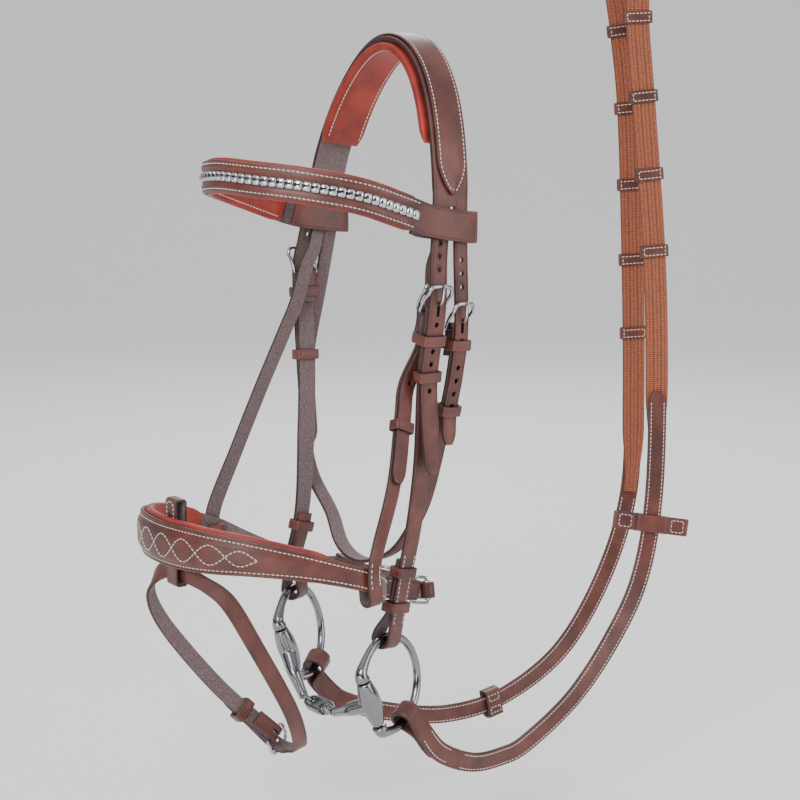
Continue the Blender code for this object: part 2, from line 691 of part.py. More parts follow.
def tube(name, place, axis, inner, outer, length):
    """A plain tube turned about `axis`."""
    profile = bpy.data.meshes.new(name)
    corners = [(outer, -length / 2), (outer, length / 2), (inner, length / 2), (inner, -length / 2)]
    points = [(x * MM, 0.0, z * MM) for x, z in corners]
    profile.from_pydata(points, [(0, 1), (1, 2), (2, 3), (3, 0)], [])
    made = bpy.data.objects.new(name, profile)
    turn = made.modifiers.new("turn", "SCREW")
    turn.steps = 16
    turn.render_steps = 16
    turn.use_merge_vertices = True
    turn.merge_threshold = 0.00001
    turn.use_normal_flip = True
    made.location = place * MM
    made.rotation_mode = "QUATERNION"
    made.rotation_quaternion = Vector((0, 0, 1)).rotation_difference(axis)
    return finish_object(made, STEEL, 0.15, 1.0)


# ---------------------------------------------------------------- flash strap

def flash_route():
    """Down the off side from its buckle, under the nose and back to the buckle: one strap."""
    points = [(-12, -117, -527), (-27, -152, -489), (-38, -184, -446), (-41.5, -199, -421), (-41, -204, -404),
              (-33, -203, -391), (-22, -201.3, -384.5), (-13, -200.9, -382.5), (2, -201.3, -382.5),
              (13, -200.7, -383.5), (26, -197, -387), (37, -185, -400), (38, -163, -437), (30, -128, -494),
              (12, -107, -531), (-3, -105, -539), (-12, -113.5, -535.5), (-20.4, -132, -513),
              (-28.6, -150, -492)]
    faces = [(-1, 0, -0.3), (-1, 0, -0.1), (-1, -0.2, 0), (-1, -0.4, 0), (-1, -0.7, 0), (-0.6, -1, 0),
             (-0.25, -1, 0), (-0.03, -1, 0), (-0.03, -1, 0), (0.1, -1, 0), (0.4, -1, -0.1), (1, -0.5, 0),
             (1, -0.1, 0), (1, 0, -0.2), (0.8, 0.3, -1), (0, 0.2, -1), (-1, 0, -0.7), (-1, 0, -0.35),
             (-1, 0, -0.1)]
    return Route(points, [Vector(f) for f in faces], step=10.0)


def build_flash():
    route = flash_route()
    rows = folded_rows(route, 0.0, route.length, 0.0, (FOLD_RADIUS, 20.0, 2 * FOLD_RADIUS), step=9.5)
    widths = [THIN_WIDTH] * (len(rows) - 1) + [TIP_WIDTH]
    piece = strip_object("flash_strap", rows, widths, THIN_THICK, LEATHER)
    frame = buckle("flash", route, 0.0, THIN_WIDTH + 1.2, CHIN_LIFT, 0.0, height=SMALL_BUCKLE)
    tongue_slots("flash", route, 0.0, piece, piece, -1.0, CHIN_LIFT)
    band = keeper("flash_keeper", route, 30.0, -1.6, CHIN_LIFT + 2.6, THIN_WIDTH + 0.6)
    top = route.spot(route.nearest((-5.5, -201.6, -382.5)))
    mark_joint("flash_swing", top, Vector((1, 0, 0)), piece, frame, band)


# ------------------------------------------------------------------- the bit

def loft(name, places, radii, colour=STEEL, sides=10, closed=False, roughness=0.15):
    """A round bar of changing thickness through `places`, capped at both ends."""
    shape = bmesh.new()
    rings = []
    count = len(places)
    side = None
    for k, (place, radius) in enumerate(zip(places, radii)):
        before = places[(k - 1) % count] if closed or k else place
        after = places[(k + 1) % count] if closed or k < count - 1 else place
        along = (after - before).normalized()
        if side is None:
            side = along.orthogonal().normalized()
        side = (side - along * side.dot(along)).normalized()
        up = along.cross(side)
        ring = []
        for j in range(sides):
            angle = 2 * math.pi * j / sides
            spot = place + (side * math.cos(angle) + up * math.sin(angle)) * radius
            ring.append(shape.verts.new(spot * MM))
        rings.append(ring)
    pairs = list(zip(rings, rings[1:]))
    if closed:
        pairs.append((rings[-1], rings[0]))
    for low, high in pairs:
        for j in range(sides):
            after = (j + 1) % sides
            shape.faces.new((low[j], low[after], high[after], high[j]))
    if not closed:
        shape.faces.new(rings[0][::-1])
        shape.faces.new(rings[-1])
    bmesh.ops.recalc_face_normals(shape, faces=shape.faces)
    mesh = bpy.data.meshes.new(name)
    shape.to_mesh(mesh)
    shape.free()
    made = bpy.data.objects.new(name, mesh)
    return finish_object(made, colour, roughness, 1.0 if colour == STEEL else 0.0)


def barrel_place(side):
    back, _ = ring_frame(side)
    return RING_CENTRE[side] - back * BARREL_SETBACK


def build_ring(name, side):
    """A ring whose front is the pin that the mouthpiece turns on."""
    back, up = ring_frame(side)
    middle = barrel_place(side)
    places = []
    radii = []
    for height in (-PIN_HALF, -PIN_HALF / 3, PIN_HALF / 3, PIN_HALF):
        places.append(middle + up * height)
        radii.append(PIN_RADIUS)
    places += [middle + up * (PIN_HALF + 0.8), middle + up * (PIN_HALF + 7.0) + back * 1.5]
    radii += [SHOULDER_RADIUS, 4.4]
    sweep = 112
    for k in range(15):
        turn = math.radians(sweep - 2 * sweep * k / 14)
        places.append(ring_place(side, turn))
        radii.append(RING_WIRE)
    places += [middle - up * (PIN_HALF + 7.0) + back * 1.5, middle - up * (PIN_HALF + 0.8)]
    radii += [4.4, SHOULDER_RADIUS]
    return loft(name + "_ring", places, radii, closed=True)


def build_cannon(name, side):
    """Half of the mouthpiece: the egg-shaped barrel, the arm and the eye at its end."""
    back, up = ring_frame(side)
    middle = barrel_place(side)
    eye_hole = Vector((LINK_HOLE * side, LOZENGE_CENTRE.y, LOZENGE_CENTRE.z))
    outward = Vector((side, 0.0, 0.0))
    heights = (-19.6, -14.0, -5.0, 5.0, 13.0, 19.6)
    sizes = (4.6, 6.6, 8.2, 8.4, 7.4, 6.0)
    barrel = loft(name + "_cannon", [middle + up * h for h in heights], sizes, sides=12)
    eye_centre = eye_hole + outward * EYE_RADIUS
    root = middle - back * 1.5
    end = eye_centre + outward * (EYE_RADIUS + 1.0)
    bow = (root + end) / 2 - up * 3.0 - back * 2.0
    curve = smooth_points([root, bow + (root - bow) * 0.45, bow, end], 9.0)
    radii = [7.6 + (4.2 - 7.6) * k / (len(curve) - 1) for k in range(len(curve))]
    arm = loft(name + "_arm", curve, radii)
    unite(barrel, arm)
    loop = []
    for k in range(12):
        turn = 2 * math.pi * k / 12
        loop.append(eye_centre + outward * (math.cos(turn) * EYE_RADIUS) + up * (math.sin(turn) * EYE_RADIUS))
    eye = loft(name + "_eye", loop, [EYE_WIRE] * 12, closed=True, sides=8)
    unite(barrel, eye)
    bore = loft(name + "_bore", [middle - up * 30.0, middle + up * 30.0], [PIN_RADIUS + 0.35] * 2, sides=12)
    cut(barrel, bore)
    set_aside(bore)
    return barrel


def build_lozenge():
    """The flat middle link, with a hole at either end for the eyes."""
    flat = Vector((1, 0, 0)).cross(BARREL_AXIS).normalized()
    across = Vector((1, 0, 0))
    rows = []
    widths = []
    for share in (-1.0, -0.8, -0.5, 0.0, 0.5, 0.8, 1.0):
        rows.append((LOZENGE_CENTRE + across * (LINK_HALF * share), flat, BARREL_AXIS))
        widths.append(9.0 + 5.0 * math.sqrt(1.0 - min(abs(share), 0.99)))
    link = strip_object("lozenge", rows, widths, 4.4, STEEL, 0.15)
    for side in (-1, 1):
        middle = LOZENGE_CENTRE + across * (LINK_HOLE * side)
        hole = loft("lozenge_hole_%d" % (side + 1), [middle - BARREL_AXIS * 6, middle + BARREL_AXIS * 6],
                    [LINK_HOLE_RADIUS] * 2, sides=12)
        set_aside(hole)
        cut(link, hole)
    return link


def build_bit():
    for name, side in (("near", 1), ("off", -1)):
        ring = build_ring(name, side)
        mark_joint(name + "_ring_turn", RING_CENTRE[side], RING_LINE, ring)
        cannon = build_cannon(name, side)
        mark_joint(name + "_cannon_swivel", barrel_place(side), BARREL_AXIS, cannon)
    link = build_lozenge()
    hole = LOZENGE_CENTRE + Vector((LINK_HOLE, 0.0, 0.0))
    mark_joint("lozenge_hinge", hole, BARREL_AXIS, link)


# --------------------------------------------------------------------- reins

def near_rein_route():
    points = [(61.2, -33.8, -511), (62.6, -25, -526), (62, -8, -546), (57, 28, -564), (53.5, 62, -568),
              (51, 92, -564), (46, 150, -538), (43, 198, -496), (40, 232, -450), (37, 250, -385),
              (33, 256, -290),
              (28, 255, -180), (24, 243, -55), (20.5, 236, 20), (20, 236, 51), (20, 233, 80), (18, 229, 108)]
    faces = [(0.95, 0.19, 0.24), (1, 0.1, 0.2), (1, -0.1, 0.1)]
    faces += [(0.9, -0.35, 0)] * 4 + [(0.8, -0.5, 0)] * 10
    return Route(points, [Vector(f) for f in faces], step=17.0)


def off_rein_route():
    points = [(-70, -42.3, -501), (-70.2, -33, -517), (-66, -10, -538), (-55, 35, -555), (-47, 90, -566),
              (-41, 150, -560), (-34, 212, -527), (-28, 258, -463), (-22, 280, -390), (-15, 275, -300),
              (-9, 264, -180), (-5, 251, -50), (-4, 239, 18), (-6, 235, 49), (-5, 238, 78), (-3, 243, 106)]
    faces = [(-0.87, -0.41, -0.27), (-1, -0.1, -0.1), (-1, 0.1, 0)]
    faces += [(-0.9, 0.35, 0)] * 3 + [(-0.8, 0.5, 0)] * 10
    return Route(points, [Vector(f) for f in faces], step=17.0)


def build_rein(name, route, leather_top, web_top):
    """The leather that holds the ring and the webbing sewn to it."""
    join = route.nearest(leather_top)
    wrap = RING_WIRE + REIN_LOOP_SLACK + STRAP_THICK / 2
    rows = folded_rows(route, 0.0, join, 0.0, (wrap, 40.0, STRAP_THICK + GAP + 1.2), step=15.0)
    widths = [REIN_WIDTH] * (len(rows) - 1) + [REIN_WIDTH / 2]
    held = strip_object(name + "_rein_leather", rows, widths, STRAP_THICK, LEATHER)
    under = -(STRAP_THICK + WEB_THICK) / 2 - GAP
    sewn = strap(name + "_rein_webbing", route, join - REIN_OVERLAP, route.nearest(web_top), WEB_WIDTH,
                 WEB_THICK, out=under, step=18.0, colour=WEBBING)
    return [held, sewn]


def build_stop(name, route, far, low, high, width):
    """A sliding leather stop that keeps a martingale ring off the buckle."""
    band = keeper(name + "_martingale_stop", route, far, low, high, width, length=15.0, wall=2.6)
    place, along, _, _ = route.at(far)
    mark_joint(name + "_martingale_stop_slide", place, along, band)


def build_reins():
    near = near_rein_route()
    off = off_rein_route()
    pieces = build_rein("near", near, (33, 256, -290), (20, 233, 80))
    pieces += build_rein("off", off, (-17, 277, -330), (-4, 240.5, 92))
    low = -(STRAP_THICK / 2 + GAP + WEB_THICK)
    build_stop("near", near, near.nearest((38.5, 245, -405)), low, STRAP_THICK / 2, 62.0)
    build_stop("off", off, off.nearest((-43, 132, -564)), -STRAP_THICK / 2, STRAP_THICK / 2, 20.5)
    pieces += build_rein_end(near)
    mark_joint("reins_swing", (RING_CENTRE[1] + RING_CENTRE[-1]) / 2, RING_LINE, *pieces)


def build_rein_end(near):
    """The buckle that joins the two reins at the rider's hand."""
    heel = near.length - 4.0
    start = near.nearest((20, 236, 51))
    rows = folded_rows(near, start, heel, 0.0, None, (FOLD_RADIUS, 18.0, 2 * FOLD_RADIUS))
    folded = folded_strap("near_rein_end", rows, CHEEK_WIDTH)
    points = [(-6, 235, 51), (-5, 238, 80), (-3, 243, 106), (1, 241, 124), (10, 234.5, 133),
              (18.6, 228.6, 123), (21, 227, 106), (22.9, 230.2, 84), (23.2, 231, 74)]
    faces = [(-0.8, 0.5, 0), (-0.8, 0.5, 0), (-0.8, 0.55, 0), (-0.8, 0.55, 0.7), (0, 0, 1), (0.8, -0.55, 0.6),
             (0.8, -0.5, 0), (0.8, -0.5, 0), (0.8, -0.5, 0)]
    over = Route(points, [Vector(f) for f in faces], step=10.0)
    billet = strap("off_rein_end", over, 0.0, over.length, CHEEK_WIDTH, end_tip=True, step=9.0)
    frame = buckle("rein", near, heel, CHEEK_WIDTH + 1.0, CHIN_LIFT, 0.0, 1.0, SMALL_BUCKLE)
    tongue_slots("rein", near, heel, billet, folded, 1.0, CHIN_LIFT)
    band = keeper("rein_end_keeper", near, heel - 14.0, -2 * FOLD_RADIUS - STRAP_THICK / 2, CHIN_LIFT + 2.4,
                  CHEEK_WIDTH + 1.0)
    return [folded, billet, frame, band]


# ------------------------------------------------------------------- the run

def seat_on_poll():
    """Lift everything so that the middle of the headpiece's padded underside is the origin."""
    for made in bpy.data.objects:
        made.location.z += SEAT_RISE * MM


def main():
    clear_scene()
    cheek_billets = {"near_cheek_billet": cheek_billet_route(1), "off_cheek_billet": cheek_billet_route(-1)}
    billets = dict(cheek_billets, near_throat_billet=throat_billet_route())
    headpiece = build_headpiece(billets)
    build_browband()
    build_cheek("near", 1, headpiece)
    build_cheek("off", -1, headpiece)
    build_throatlatch(headpiece)
    noseband_line, noseband = build_noseband()
    build_flash_loop(noseband_line)
    build_hangers()
    build_chin_strap(noseband_line, noseband)
    build_flash()
    build_bit()
    build_reins()
    seat_on_poll()


PARTS = new_collection("snaffle_bridle")
CUTTERS = new_collection("cutters")
main()
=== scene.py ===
"""The looks of a snaffle bridle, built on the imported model's frame.

Lengths are in millimetres, and MM turns them into metres.  Every strap is swept
along the line that its solid follows.  Like the solids, the pieces are lifted by
SEAT_RISE at the end, which puts the origin under the padded headpiece.
"""
import bisect
import json
import math

import bmesh
import bpy
import numpy as np
from mathutils import Matrix, Vector

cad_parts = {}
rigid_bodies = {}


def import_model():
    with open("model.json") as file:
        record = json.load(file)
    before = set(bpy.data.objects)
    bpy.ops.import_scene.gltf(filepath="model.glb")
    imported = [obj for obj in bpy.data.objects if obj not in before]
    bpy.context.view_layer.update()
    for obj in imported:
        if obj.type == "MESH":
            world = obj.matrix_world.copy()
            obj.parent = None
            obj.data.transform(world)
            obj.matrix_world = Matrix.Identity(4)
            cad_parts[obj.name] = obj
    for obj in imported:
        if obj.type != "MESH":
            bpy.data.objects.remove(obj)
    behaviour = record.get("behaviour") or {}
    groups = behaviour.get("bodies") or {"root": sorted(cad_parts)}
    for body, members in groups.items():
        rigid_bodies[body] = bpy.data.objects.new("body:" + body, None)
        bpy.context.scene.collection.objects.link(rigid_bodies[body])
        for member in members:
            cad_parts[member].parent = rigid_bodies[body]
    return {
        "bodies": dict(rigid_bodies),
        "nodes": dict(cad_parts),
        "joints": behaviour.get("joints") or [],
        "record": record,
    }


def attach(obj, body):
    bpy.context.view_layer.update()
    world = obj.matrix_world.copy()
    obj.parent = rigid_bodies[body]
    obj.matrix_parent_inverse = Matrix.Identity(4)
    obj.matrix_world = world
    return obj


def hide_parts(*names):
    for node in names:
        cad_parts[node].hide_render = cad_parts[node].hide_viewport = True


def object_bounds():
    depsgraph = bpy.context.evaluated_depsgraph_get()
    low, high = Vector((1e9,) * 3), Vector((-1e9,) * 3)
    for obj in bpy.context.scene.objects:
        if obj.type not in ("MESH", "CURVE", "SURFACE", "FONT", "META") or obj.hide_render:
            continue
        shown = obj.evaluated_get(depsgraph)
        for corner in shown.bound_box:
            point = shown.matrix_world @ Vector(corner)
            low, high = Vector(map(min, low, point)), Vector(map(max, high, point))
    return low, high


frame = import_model()
CAD_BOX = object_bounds()

MM = 0.001
GAP = 0.35
ROOT = "headstall"

# leather
CHEEK_WIDTH = 15.6
THIN_WIDTH = 12.6
THICK = 3.0
THIN_THICK = 2.6
CROWN_WIDTH = 32.0
CROWN_THICK = 4.0
KEEPER_WALL = 1.6
KEEPER_SLACK = 0.95
HOLE_PITCH = 10.0
HOLE_RADIUS = 1.9
PUNCH_REACH = 5.0
FOLD_RADIUS = 3.3
FOLD_CLOSING = 2.4
UNDER = -(THICK + GAP + 0.25)
FOLDED_IN = UNDER - 2 * FOLD_RADIUS - THICK / 2
BAR_RADIUS = 1.2
CHIN_LIFT = 3.6
THROAT_HEEL = Vector((86.0, -10.4, -211.0))
CHEEK_KEEPER_DROP = {1: 21.0, -1: 16.0}
FLASH_LOOP_REAR = -16.4
FLASH_LOOP_FRONT = -12.3
FLASH_LOOP_TALL = 59.1
FLASH_LOOP_DROP = 2.5
BROWBAND_WIDTH = 23.0
BROWBAND_THICK = 2.4
NOSEBAND_NARROW = 17.0
NOSEBAND_WIDE = 32.0

# reins
REIN_WIDTH = 16.0
WEB_WIDTH = 20.0
WEB_COLUMNS = 6
STOP_SPACING = 65.5
NEAR_STOP_WIDTH = 62.0
OFF_STOP_WIDTH = 20.5

# crown arch
CROWN_HALF_SPAN = 82.5
CROWN_DROP = 165.0
CROWN_TOP = 2.0
SEAT_RISE = 7.7
CROWN_SWEEP = math.radians(75.2)
CROWN_LEAN = -16.0
LINING_SKIP = 47.0
OVERLAY_WIDTH = 27.0

# bit
RING_RADIUS = 36.0
RING_WIRE = 3.0
BARREL_SETBACK = 26.0
LOOP_SLACK = 2.8
REIN_LOOP_SLACK = 4.0
RING_CENTRE = {1: Vector((55.0, -53.7, -482.3)), -1: Vector((-59.5, -56.6, -467.7))}
RING_YAW = {1: math.radians(17.0), -1: math.radians(-30.0)}
BARREL_AXIS = Vector((0.0, -0.36, 0.933)).normalized()
LOZENGE_CENTRE = Vector((0.0, -80.0, -509.0))
PIN_HALF = 20.2
LINK_HALF = 16.3
LINK_HOLE = 11.0
LINK_HOLE_RADIUS = 4.1
EYE_RADIUS = 4.2

# stitching
PITCH = 3.3
STITCH = 2.5
STITCH_SLANT = 0.1
THREAD = 0.42

# the pale floor and the wall that it curves up into, in metres
FLOOR_REACH = 16.0
WALL_START = 3.0
WALL_BEND = 1.2
WALL_HEIGHT = 5.0

# the photograph's viewpoint
CAMERA_AT = (1.045, -0.817, -0.0533)
CAMERA_RIGHT = (0.6157, 0.7880, 0.0)
CAMERA_UP = (-0.126, 0.0985, 0.9871)
CAMERA_LENS = 76.9


# ----------------------------------------------------------------- materials

def shader_material(name):
    made = bpy.data.materials.new(name)
    made.use_nodes = True
    tree = made.node_tree
    return made, tree, tree.nodes["Principled BSDF"]


def noise(tree, scale, detail=4.0, roughness=0.55):
    """Noise in the piece's own space, so that it stays put when the piece moves."""
    coordinate = tree.nodes.new("ShaderNodeTexCoord")
    made = tree.nodes.new("ShaderNodeTexNoise")
    made.inputs["Scale"].default_value = scale
    made.inputs["Detail"].default_value = detail
    made.inputs["Roughness"].default_value = roughness
    tree.links.new(coordinate.outputs["Object"], made.inputs["Vector"])
    return made.outputs["Fac"]


def cells(tree, scale):
    coordinate = tree.nodes.new("ShaderNodeTexCoord")
    made = tree.nodes.new("ShaderNodeTexVoronoi")
    made.inputs["Scale"].default_value = scale
    tree.links.new(coordinate.outputs["Object"], made.inputs["Vector"])
    return made.outputs["Distance"]


def ramp(tree, source, stops):
    made = tree.nodes.new("ShaderNodeValToRGB")
    line = made.color_ramp
    while len(line.elements) < len(stops):
        line.elements.new(0.5)
    for element, (place, colour) in zip(line.elements, stops):
        element.position = place
        element.color = (*colour, 1.0)
    tree.links.new(source, made.inputs["Fac"])
    return made.outputs["Color"]


def span(tree, source, low, high):
    """Stretches 0..1 to low..high."""
    made = tree.nodes.new("ShaderNodeMapRange")
    made.inputs["To Min"].default_value = low
    made.inputs["To Max"].default_value = high
    tree.links.new(source, made.inputs["Value"])
    return made.outputs["Result"]


def tint(tree, colour, factor, shade, blend="MULTIPLY"):
    made = tree.nodes.new("ShaderNodeMix")
    made.data_type = "RGBA"
    made.blend_type = blend
    tree.links.new(factor, made.inputs["Factor"])
    tree.links.new(colour, made.inputs[6])
    made.inputs[7].default_value = (*shade, 1.0)
    return made.outputs[2]


def bump(tree, shader, height, strength, distance):
    made = tree.nodes.new("ShaderNodeBump")
    made.inputs["Strength"].default_value = strength
    made.inputs["Distance"].default_value = distance
    tree.links.new(height, made.inputs["Height"])
    before = shader.inputs["Normal"].links
    if before:
        tree.links.new(before[0].from_socket, made.inputs["Normal"])
    tree.links.new(made.outputs["Normal"], shader.inputs["Normal"])


def painted_edge_highlight(tree, colour, shade, low, high):
    """Paints a highlight: mixes the lighter colour `shade` in where the surface bends sharply outwards."""
    geometry = tree.nodes.new("ShaderNodeNewGeometry")
    reach = tree.nodes.new("ShaderNodeMapRange")
    reach.inputs["From Min"].default_value = low
    reach.inputs["From Max"].default_value = high
    reach.inputs["To Max"].default_value = 0.55
    tree.links.new(geometry.outputs["Pointiness"], reach.inputs["Value"])
    return tint(tree, colour, reach.outputs["Result"], shade, "MIX")


def leather_material(name, dark, middle, light, gloss=(0.36, 0.52), pores=0.22, coat=0.12):
    made, tree, shader = shader_material(name)
    colour = ramp(tree, noise(tree, 38.0, 6.0, 0.6), ((0.3, dark), (0.5, middle), (0.72, light)))
    colour = tint(tree, colour, span(tree, noise(tree, 520.0, 3.0), 0.0, 0.4), (0.62, 0.52, 0.5))
    # Painted highlight: a lighter leather colour on the sharp outward bends of every edge.
    colour = painted_edge_highlight(tree, colour, tuple(1.5 * c for c in light), 0.53, 0.62)
    tree.links.new(colour, shader.inputs["Base Color"])
    tree.links.new(span(tree, noise(tree, 150.0, 4.0), *gloss), shader.inputs["Roughness"])
    shader.inputs["Coat Weight"].default_value = coat
    shader.inputs["Coat Roughness"].default_value = 0.3
    shader.inputs["Specular IOR Level"].default_value = 0.42
    bump(tree, shader, cells(tree, 1100.0), pores, 0.00025)
    bump(tree, shader, noise(tree, 260.0, 5.0), 0.16, 0.0005)
    return made


def suede_material():
    """The flesh side of the leather: pale, greyish and rough."""
    made, tree, shader = shader_material("flesh_side")
    colour = ramp(tree, noise(tree, 900.0, 6.0, 0.7),
                  ((0.34, (0.075, 0.05, 0.052)), (0.5, (0.135, 0.094, 0.096)), (0.68, (0.23, 0.17, 0.17))))
    colour = tint(tree, colour, span(tree, noise(tree, 45.0), 0.0, 0.5), (0.72, 0.58, 0.55))
    tree.links.new(colour, shader.inputs["Base Color"])
    shader.inputs["Roughness"].default_value = 0.92
    shader.inputs["Sheen Weight"].default_value = 0.25
    shader.inputs["Specular IOR Level"].default_value = 0.2
    bump(tree, shader, noise(tree, 1500.0, 6.0, 0.75), 0.5, 0.0005)
    return made


def steel_material(name, shade, rough):
    made, tree, shader = shader_material(name)
    shader.inputs["Metallic"].default_value = 1.0
    colour = ramp(tree, noise(tree, 60.0), ((0.3, tuple(0.93 * c for c in shade)), (0.7, shade)))
    tree.links.new(colour, shader.inputs["Base Color"])
    tree.links.new(span(tree, noise(tree, 420.0, 5.0), rough * 0.7, rough * 1.5), shader.inputs["Roughness"])
    bump(tree, shader, noise(tree, 900.0, 3.0), 0.02, 0.0001)
    return made


def webbing_material(name, depth):
    """Woven cotton; `depth` darkens it for a copy that paints shade into the grooves of the weave."""
    made, tree, shader = shader_material(name)
    shades = ((0.3, (0.19, 0.046, 0.017)), (0.52, (0.34, 0.092, 0.035)), (0.75, (0.47, 0.15, 0.064)))
    colour = ramp(tree, noise(tree, 700.0, 5.0, 0.7),
                  [(place, tuple(depth * part for part in shade)) for place, shade in shades])
    colour = tint(tree, colour, span(tree, noise(tree, 25.0), 0.0, 0.45), (0.75, 0.6, 0.55))
    tree.links.new(colour, shader.inputs["Base Color"])
    shader.inputs["Roughness"].default_value = 0.82
    shader.inputs["Sheen Weight"].default_value = 0.2
    bump(tree, shader, noise(tree, 2600.0, 3.0), 0.35, 0.0003)
    return made


def thread_material():
    made, tree, shader = shader_material("thread")
    colour = ramp(tree, noise(tree, 1300.0), ((0.3, (0.42, 0.36, 0.29)), (0.65, (0.74, 0.69, 0.61))))
    tree.links.new(colour, shader.inputs["Base Color"])
    shader.inputs["Roughness"].default_value = 0.6
    bump(tree, shader, noise(tree, 3800.0), 0.3, 0.0002)
    return made


GRAIN = leather_material("bridle_leather", (0.052, 0.013, 0.010), (0.095, 0.024, 0.017), (0.15, 0.041, 0.028))
FLESH = suede_material()
EDGE = leather_material("leather_edge", (0.016, 0.006, 0.005), (0.03, 0.010, 0.008), (0.05, 0.018, 0.014),
                        (0.4, 0.6))
RED = leather_material("red_lining", (0.15, 0.010, 0.005), (0.25, 0.019, 0.008), (0.36, 0.034, 0.014),
                       (0.45, 0.6), 0.12, 0.05)
WEB = webbing_material("webbing", 1.0)
# A darker copy of the webbing: painted shade for the grooves of the weave.
WEB_SHADE = webbing_material("webbing_painted_groove_shade", 0.42)
COTTON = thread_material()
BUCKLE_STEEL = steel_material("buckle_steel", (0.40, 0.40, 0.41), 0.14)
BIT_STEEL = steel_material("bit_steel", (0.24, 0.24, 0.25), 0.13)
CHROME = steel_material("clincher_chrome", (0.50, 0.50, 0.51), 0.09)
LEATHER = (GRAIN, FLESH, EDGE)
LINING = (RED, RED, RED)


# -------------------------------------------------------------------- routes

def spline(ends, step):
    """Points about `step` apart on a smooth curve through all of `ends` but the first and the last."""
    made = []
    for a, b, c, d in zip(ends, ends[1:], ends[2:], ends[3:]):
        count = max(1, round((c - b).xyz.length / step))
        cubic = 3 * b - a - 3 * c + d
        square = 2 * a - 5 * b + 4 * c - d
        for k in range(count):
            t = k / count
            made.append(0.5 * (2 * b + (c - a) * t + square * t * t + cubic * t ** 3))
    return made


def extended(points):
    """The points with one more at either end, straight on."""
    return [points[0] * 2 - points[1]] + list(points) + [points[-1] * 2 - points[-2]]


def smooth_points(points, step):
    return spline(extended(points), step) + [Vector(points[-1])]


def lengths(places):
    """How far each place is along the line through them all."""
    far = [0.0]
    for a, b in zip(places, places[1:]):
        far.append(far[-1] + (b - a).length)
    return far


class Route:
    """A strap's centre line, with its outward face known all along it."""

    def __init__(self, points, faces, step=2.5):
        points = [Vector(p) for p in points]
        if not isinstance(faces, list):
            faces = [faces] * len(points)
        faces = [Vector(face) for face in faces]
        self.places = smooth_points(points, step)
        self.far = lengths(self.places)
        self.length = self.far[-1]
        marks = [self.nearest(p) for p in points]
        self.faces = []
        for far in self.far:
            k = min(bisect.bisect_right(marks, far + 1e-6) - 1, len(marks) - 2)
            part = (far - marks[k]) / max(marks[k + 1] - marks[k], 1e-6)
            self.faces.append(faces[k].lerp(faces[k + 1], part))

    def nearest(self, place):
        distances = [(p - Vector(place)).length for p in self.places]
        return self.far[distances.index(min(distances))]

    def at(self, far):
        """Place, along, across and outward directions at a distance along the route."""
        k = min(max(bisect.bisect_right(self.far, far) - 1, 0), len(self.far) - 2)
        part = (far - self.far[k]) / (self.far[k + 1] - self.far[k])
        place = self.places[k].lerp(self.places[k + 1], part)
        before = self.places[max(k - 1, 0)]
        after = self.places[min(k + 2, len(self.places) - 1)]
        share = min(max(part, 0.0), 1.0)
        start = (self.places[k + 1] - before).normalized()
        end = (after - self.places[k]).normalized()
        along = start.lerp(end, share).normalized()
        face = self.faces[k].lerp(self.faces[k + 1], share)
        across = along.cross(face).normalized()
        return place, along, across, across.cross(along).normalized()

    def spot(self, far, side=0.0, out=0.0):
        place, _, across, outward = self.at(far)
        return place + across * side + outward * out

    def run(self, start, end, step=3.5, out=0.0):
        """Places, across and outward directions from start to end."""
        count = max(2, round(abs(end - start) / step))
        rows = []
        for k in range(count + 1):
            far = start + (end - start) * k / count
            _, _, across, outward = self.at(far)
            rows.append((self.spot(far, 0.0, out), across, outward))
        return rows


def ease(share):
    """0 to 1 with a smooth start and end."""
    share = min(max(share, 0.0), 1.0)
    return share * share * (3.0 - 2.0 * share)


def mirrored(points, side):
    return [(x * side, y, z) for x, y, z in points]


def fold_rows(route, far, out, fold, way):
    """The half turn beyond `far` and the stretch that lies back under the strap."""
    radius, back, rest = fold
    place, along, across, outward = route.at(far)
    centre = place + outward * (out - radius)
    rows = []
    for k in range(1, 13):
        turn = math.pi * k / 12
        swing = along * (way * math.sin(turn) * radius) + outward * (math.cos(turn) * radius)
        rows.append((centre + swing, across, outward * math.cos(turn) + along * (way * math.sin(turn))))
    for k in range(1, 11):
        share = k / 10
        travel = far - way * back * share
        _, _, cross, face = route.at(travel)
        depth = out - 2 * radius + (2 * radius - rest) * ease(share * FOLD_CLOSING)
        rows.append((route.spot(travel, 0.0, depth), cross, -face))
    return rows


def folded_rows(route, start, end, out, fold_start=None, fold_end=None):
    """Rows of a strap that turns back on itself round a bar at either end."""
    rows = []
    if fold_start:
        rows += fold_rows(route, start, out, fold_start, -1.0)[::-1]
    rows += route.run(start, end, out=out)
    if fold_end:
        rows += fold_rows(route, end, out, fold_end, 1.0)
    return rows


def row_lengths(rows):
    return lengths([row[0] for row in rows])


# ------------------------------------------------------------ sections, meshes

# (distance in from the edge in mm, height as a share of half the thickness)
CREASED = ((0.0, 0.0), (0.1, 0.5), (0.42, 0.86), (1.0, 1.0), (1.55, 0.98), (1.8, 0.8), (2.05, 0.98),
           (2.8, 1.0))
PLAIN = ((0.0, 0.0), (0.1, 0.5), (0.42, 0.86), (1.0, 1.0), (2.8, 1.0))
ROUND = ((0.0, 0.0), (0.25, 0.42), (0.9, 0.78), (2.0, 0.96), (3.4, 1.0))
GRAIN_SIDE, FLESH_SIDE, EDGE_SIDE = 0, 1, 2


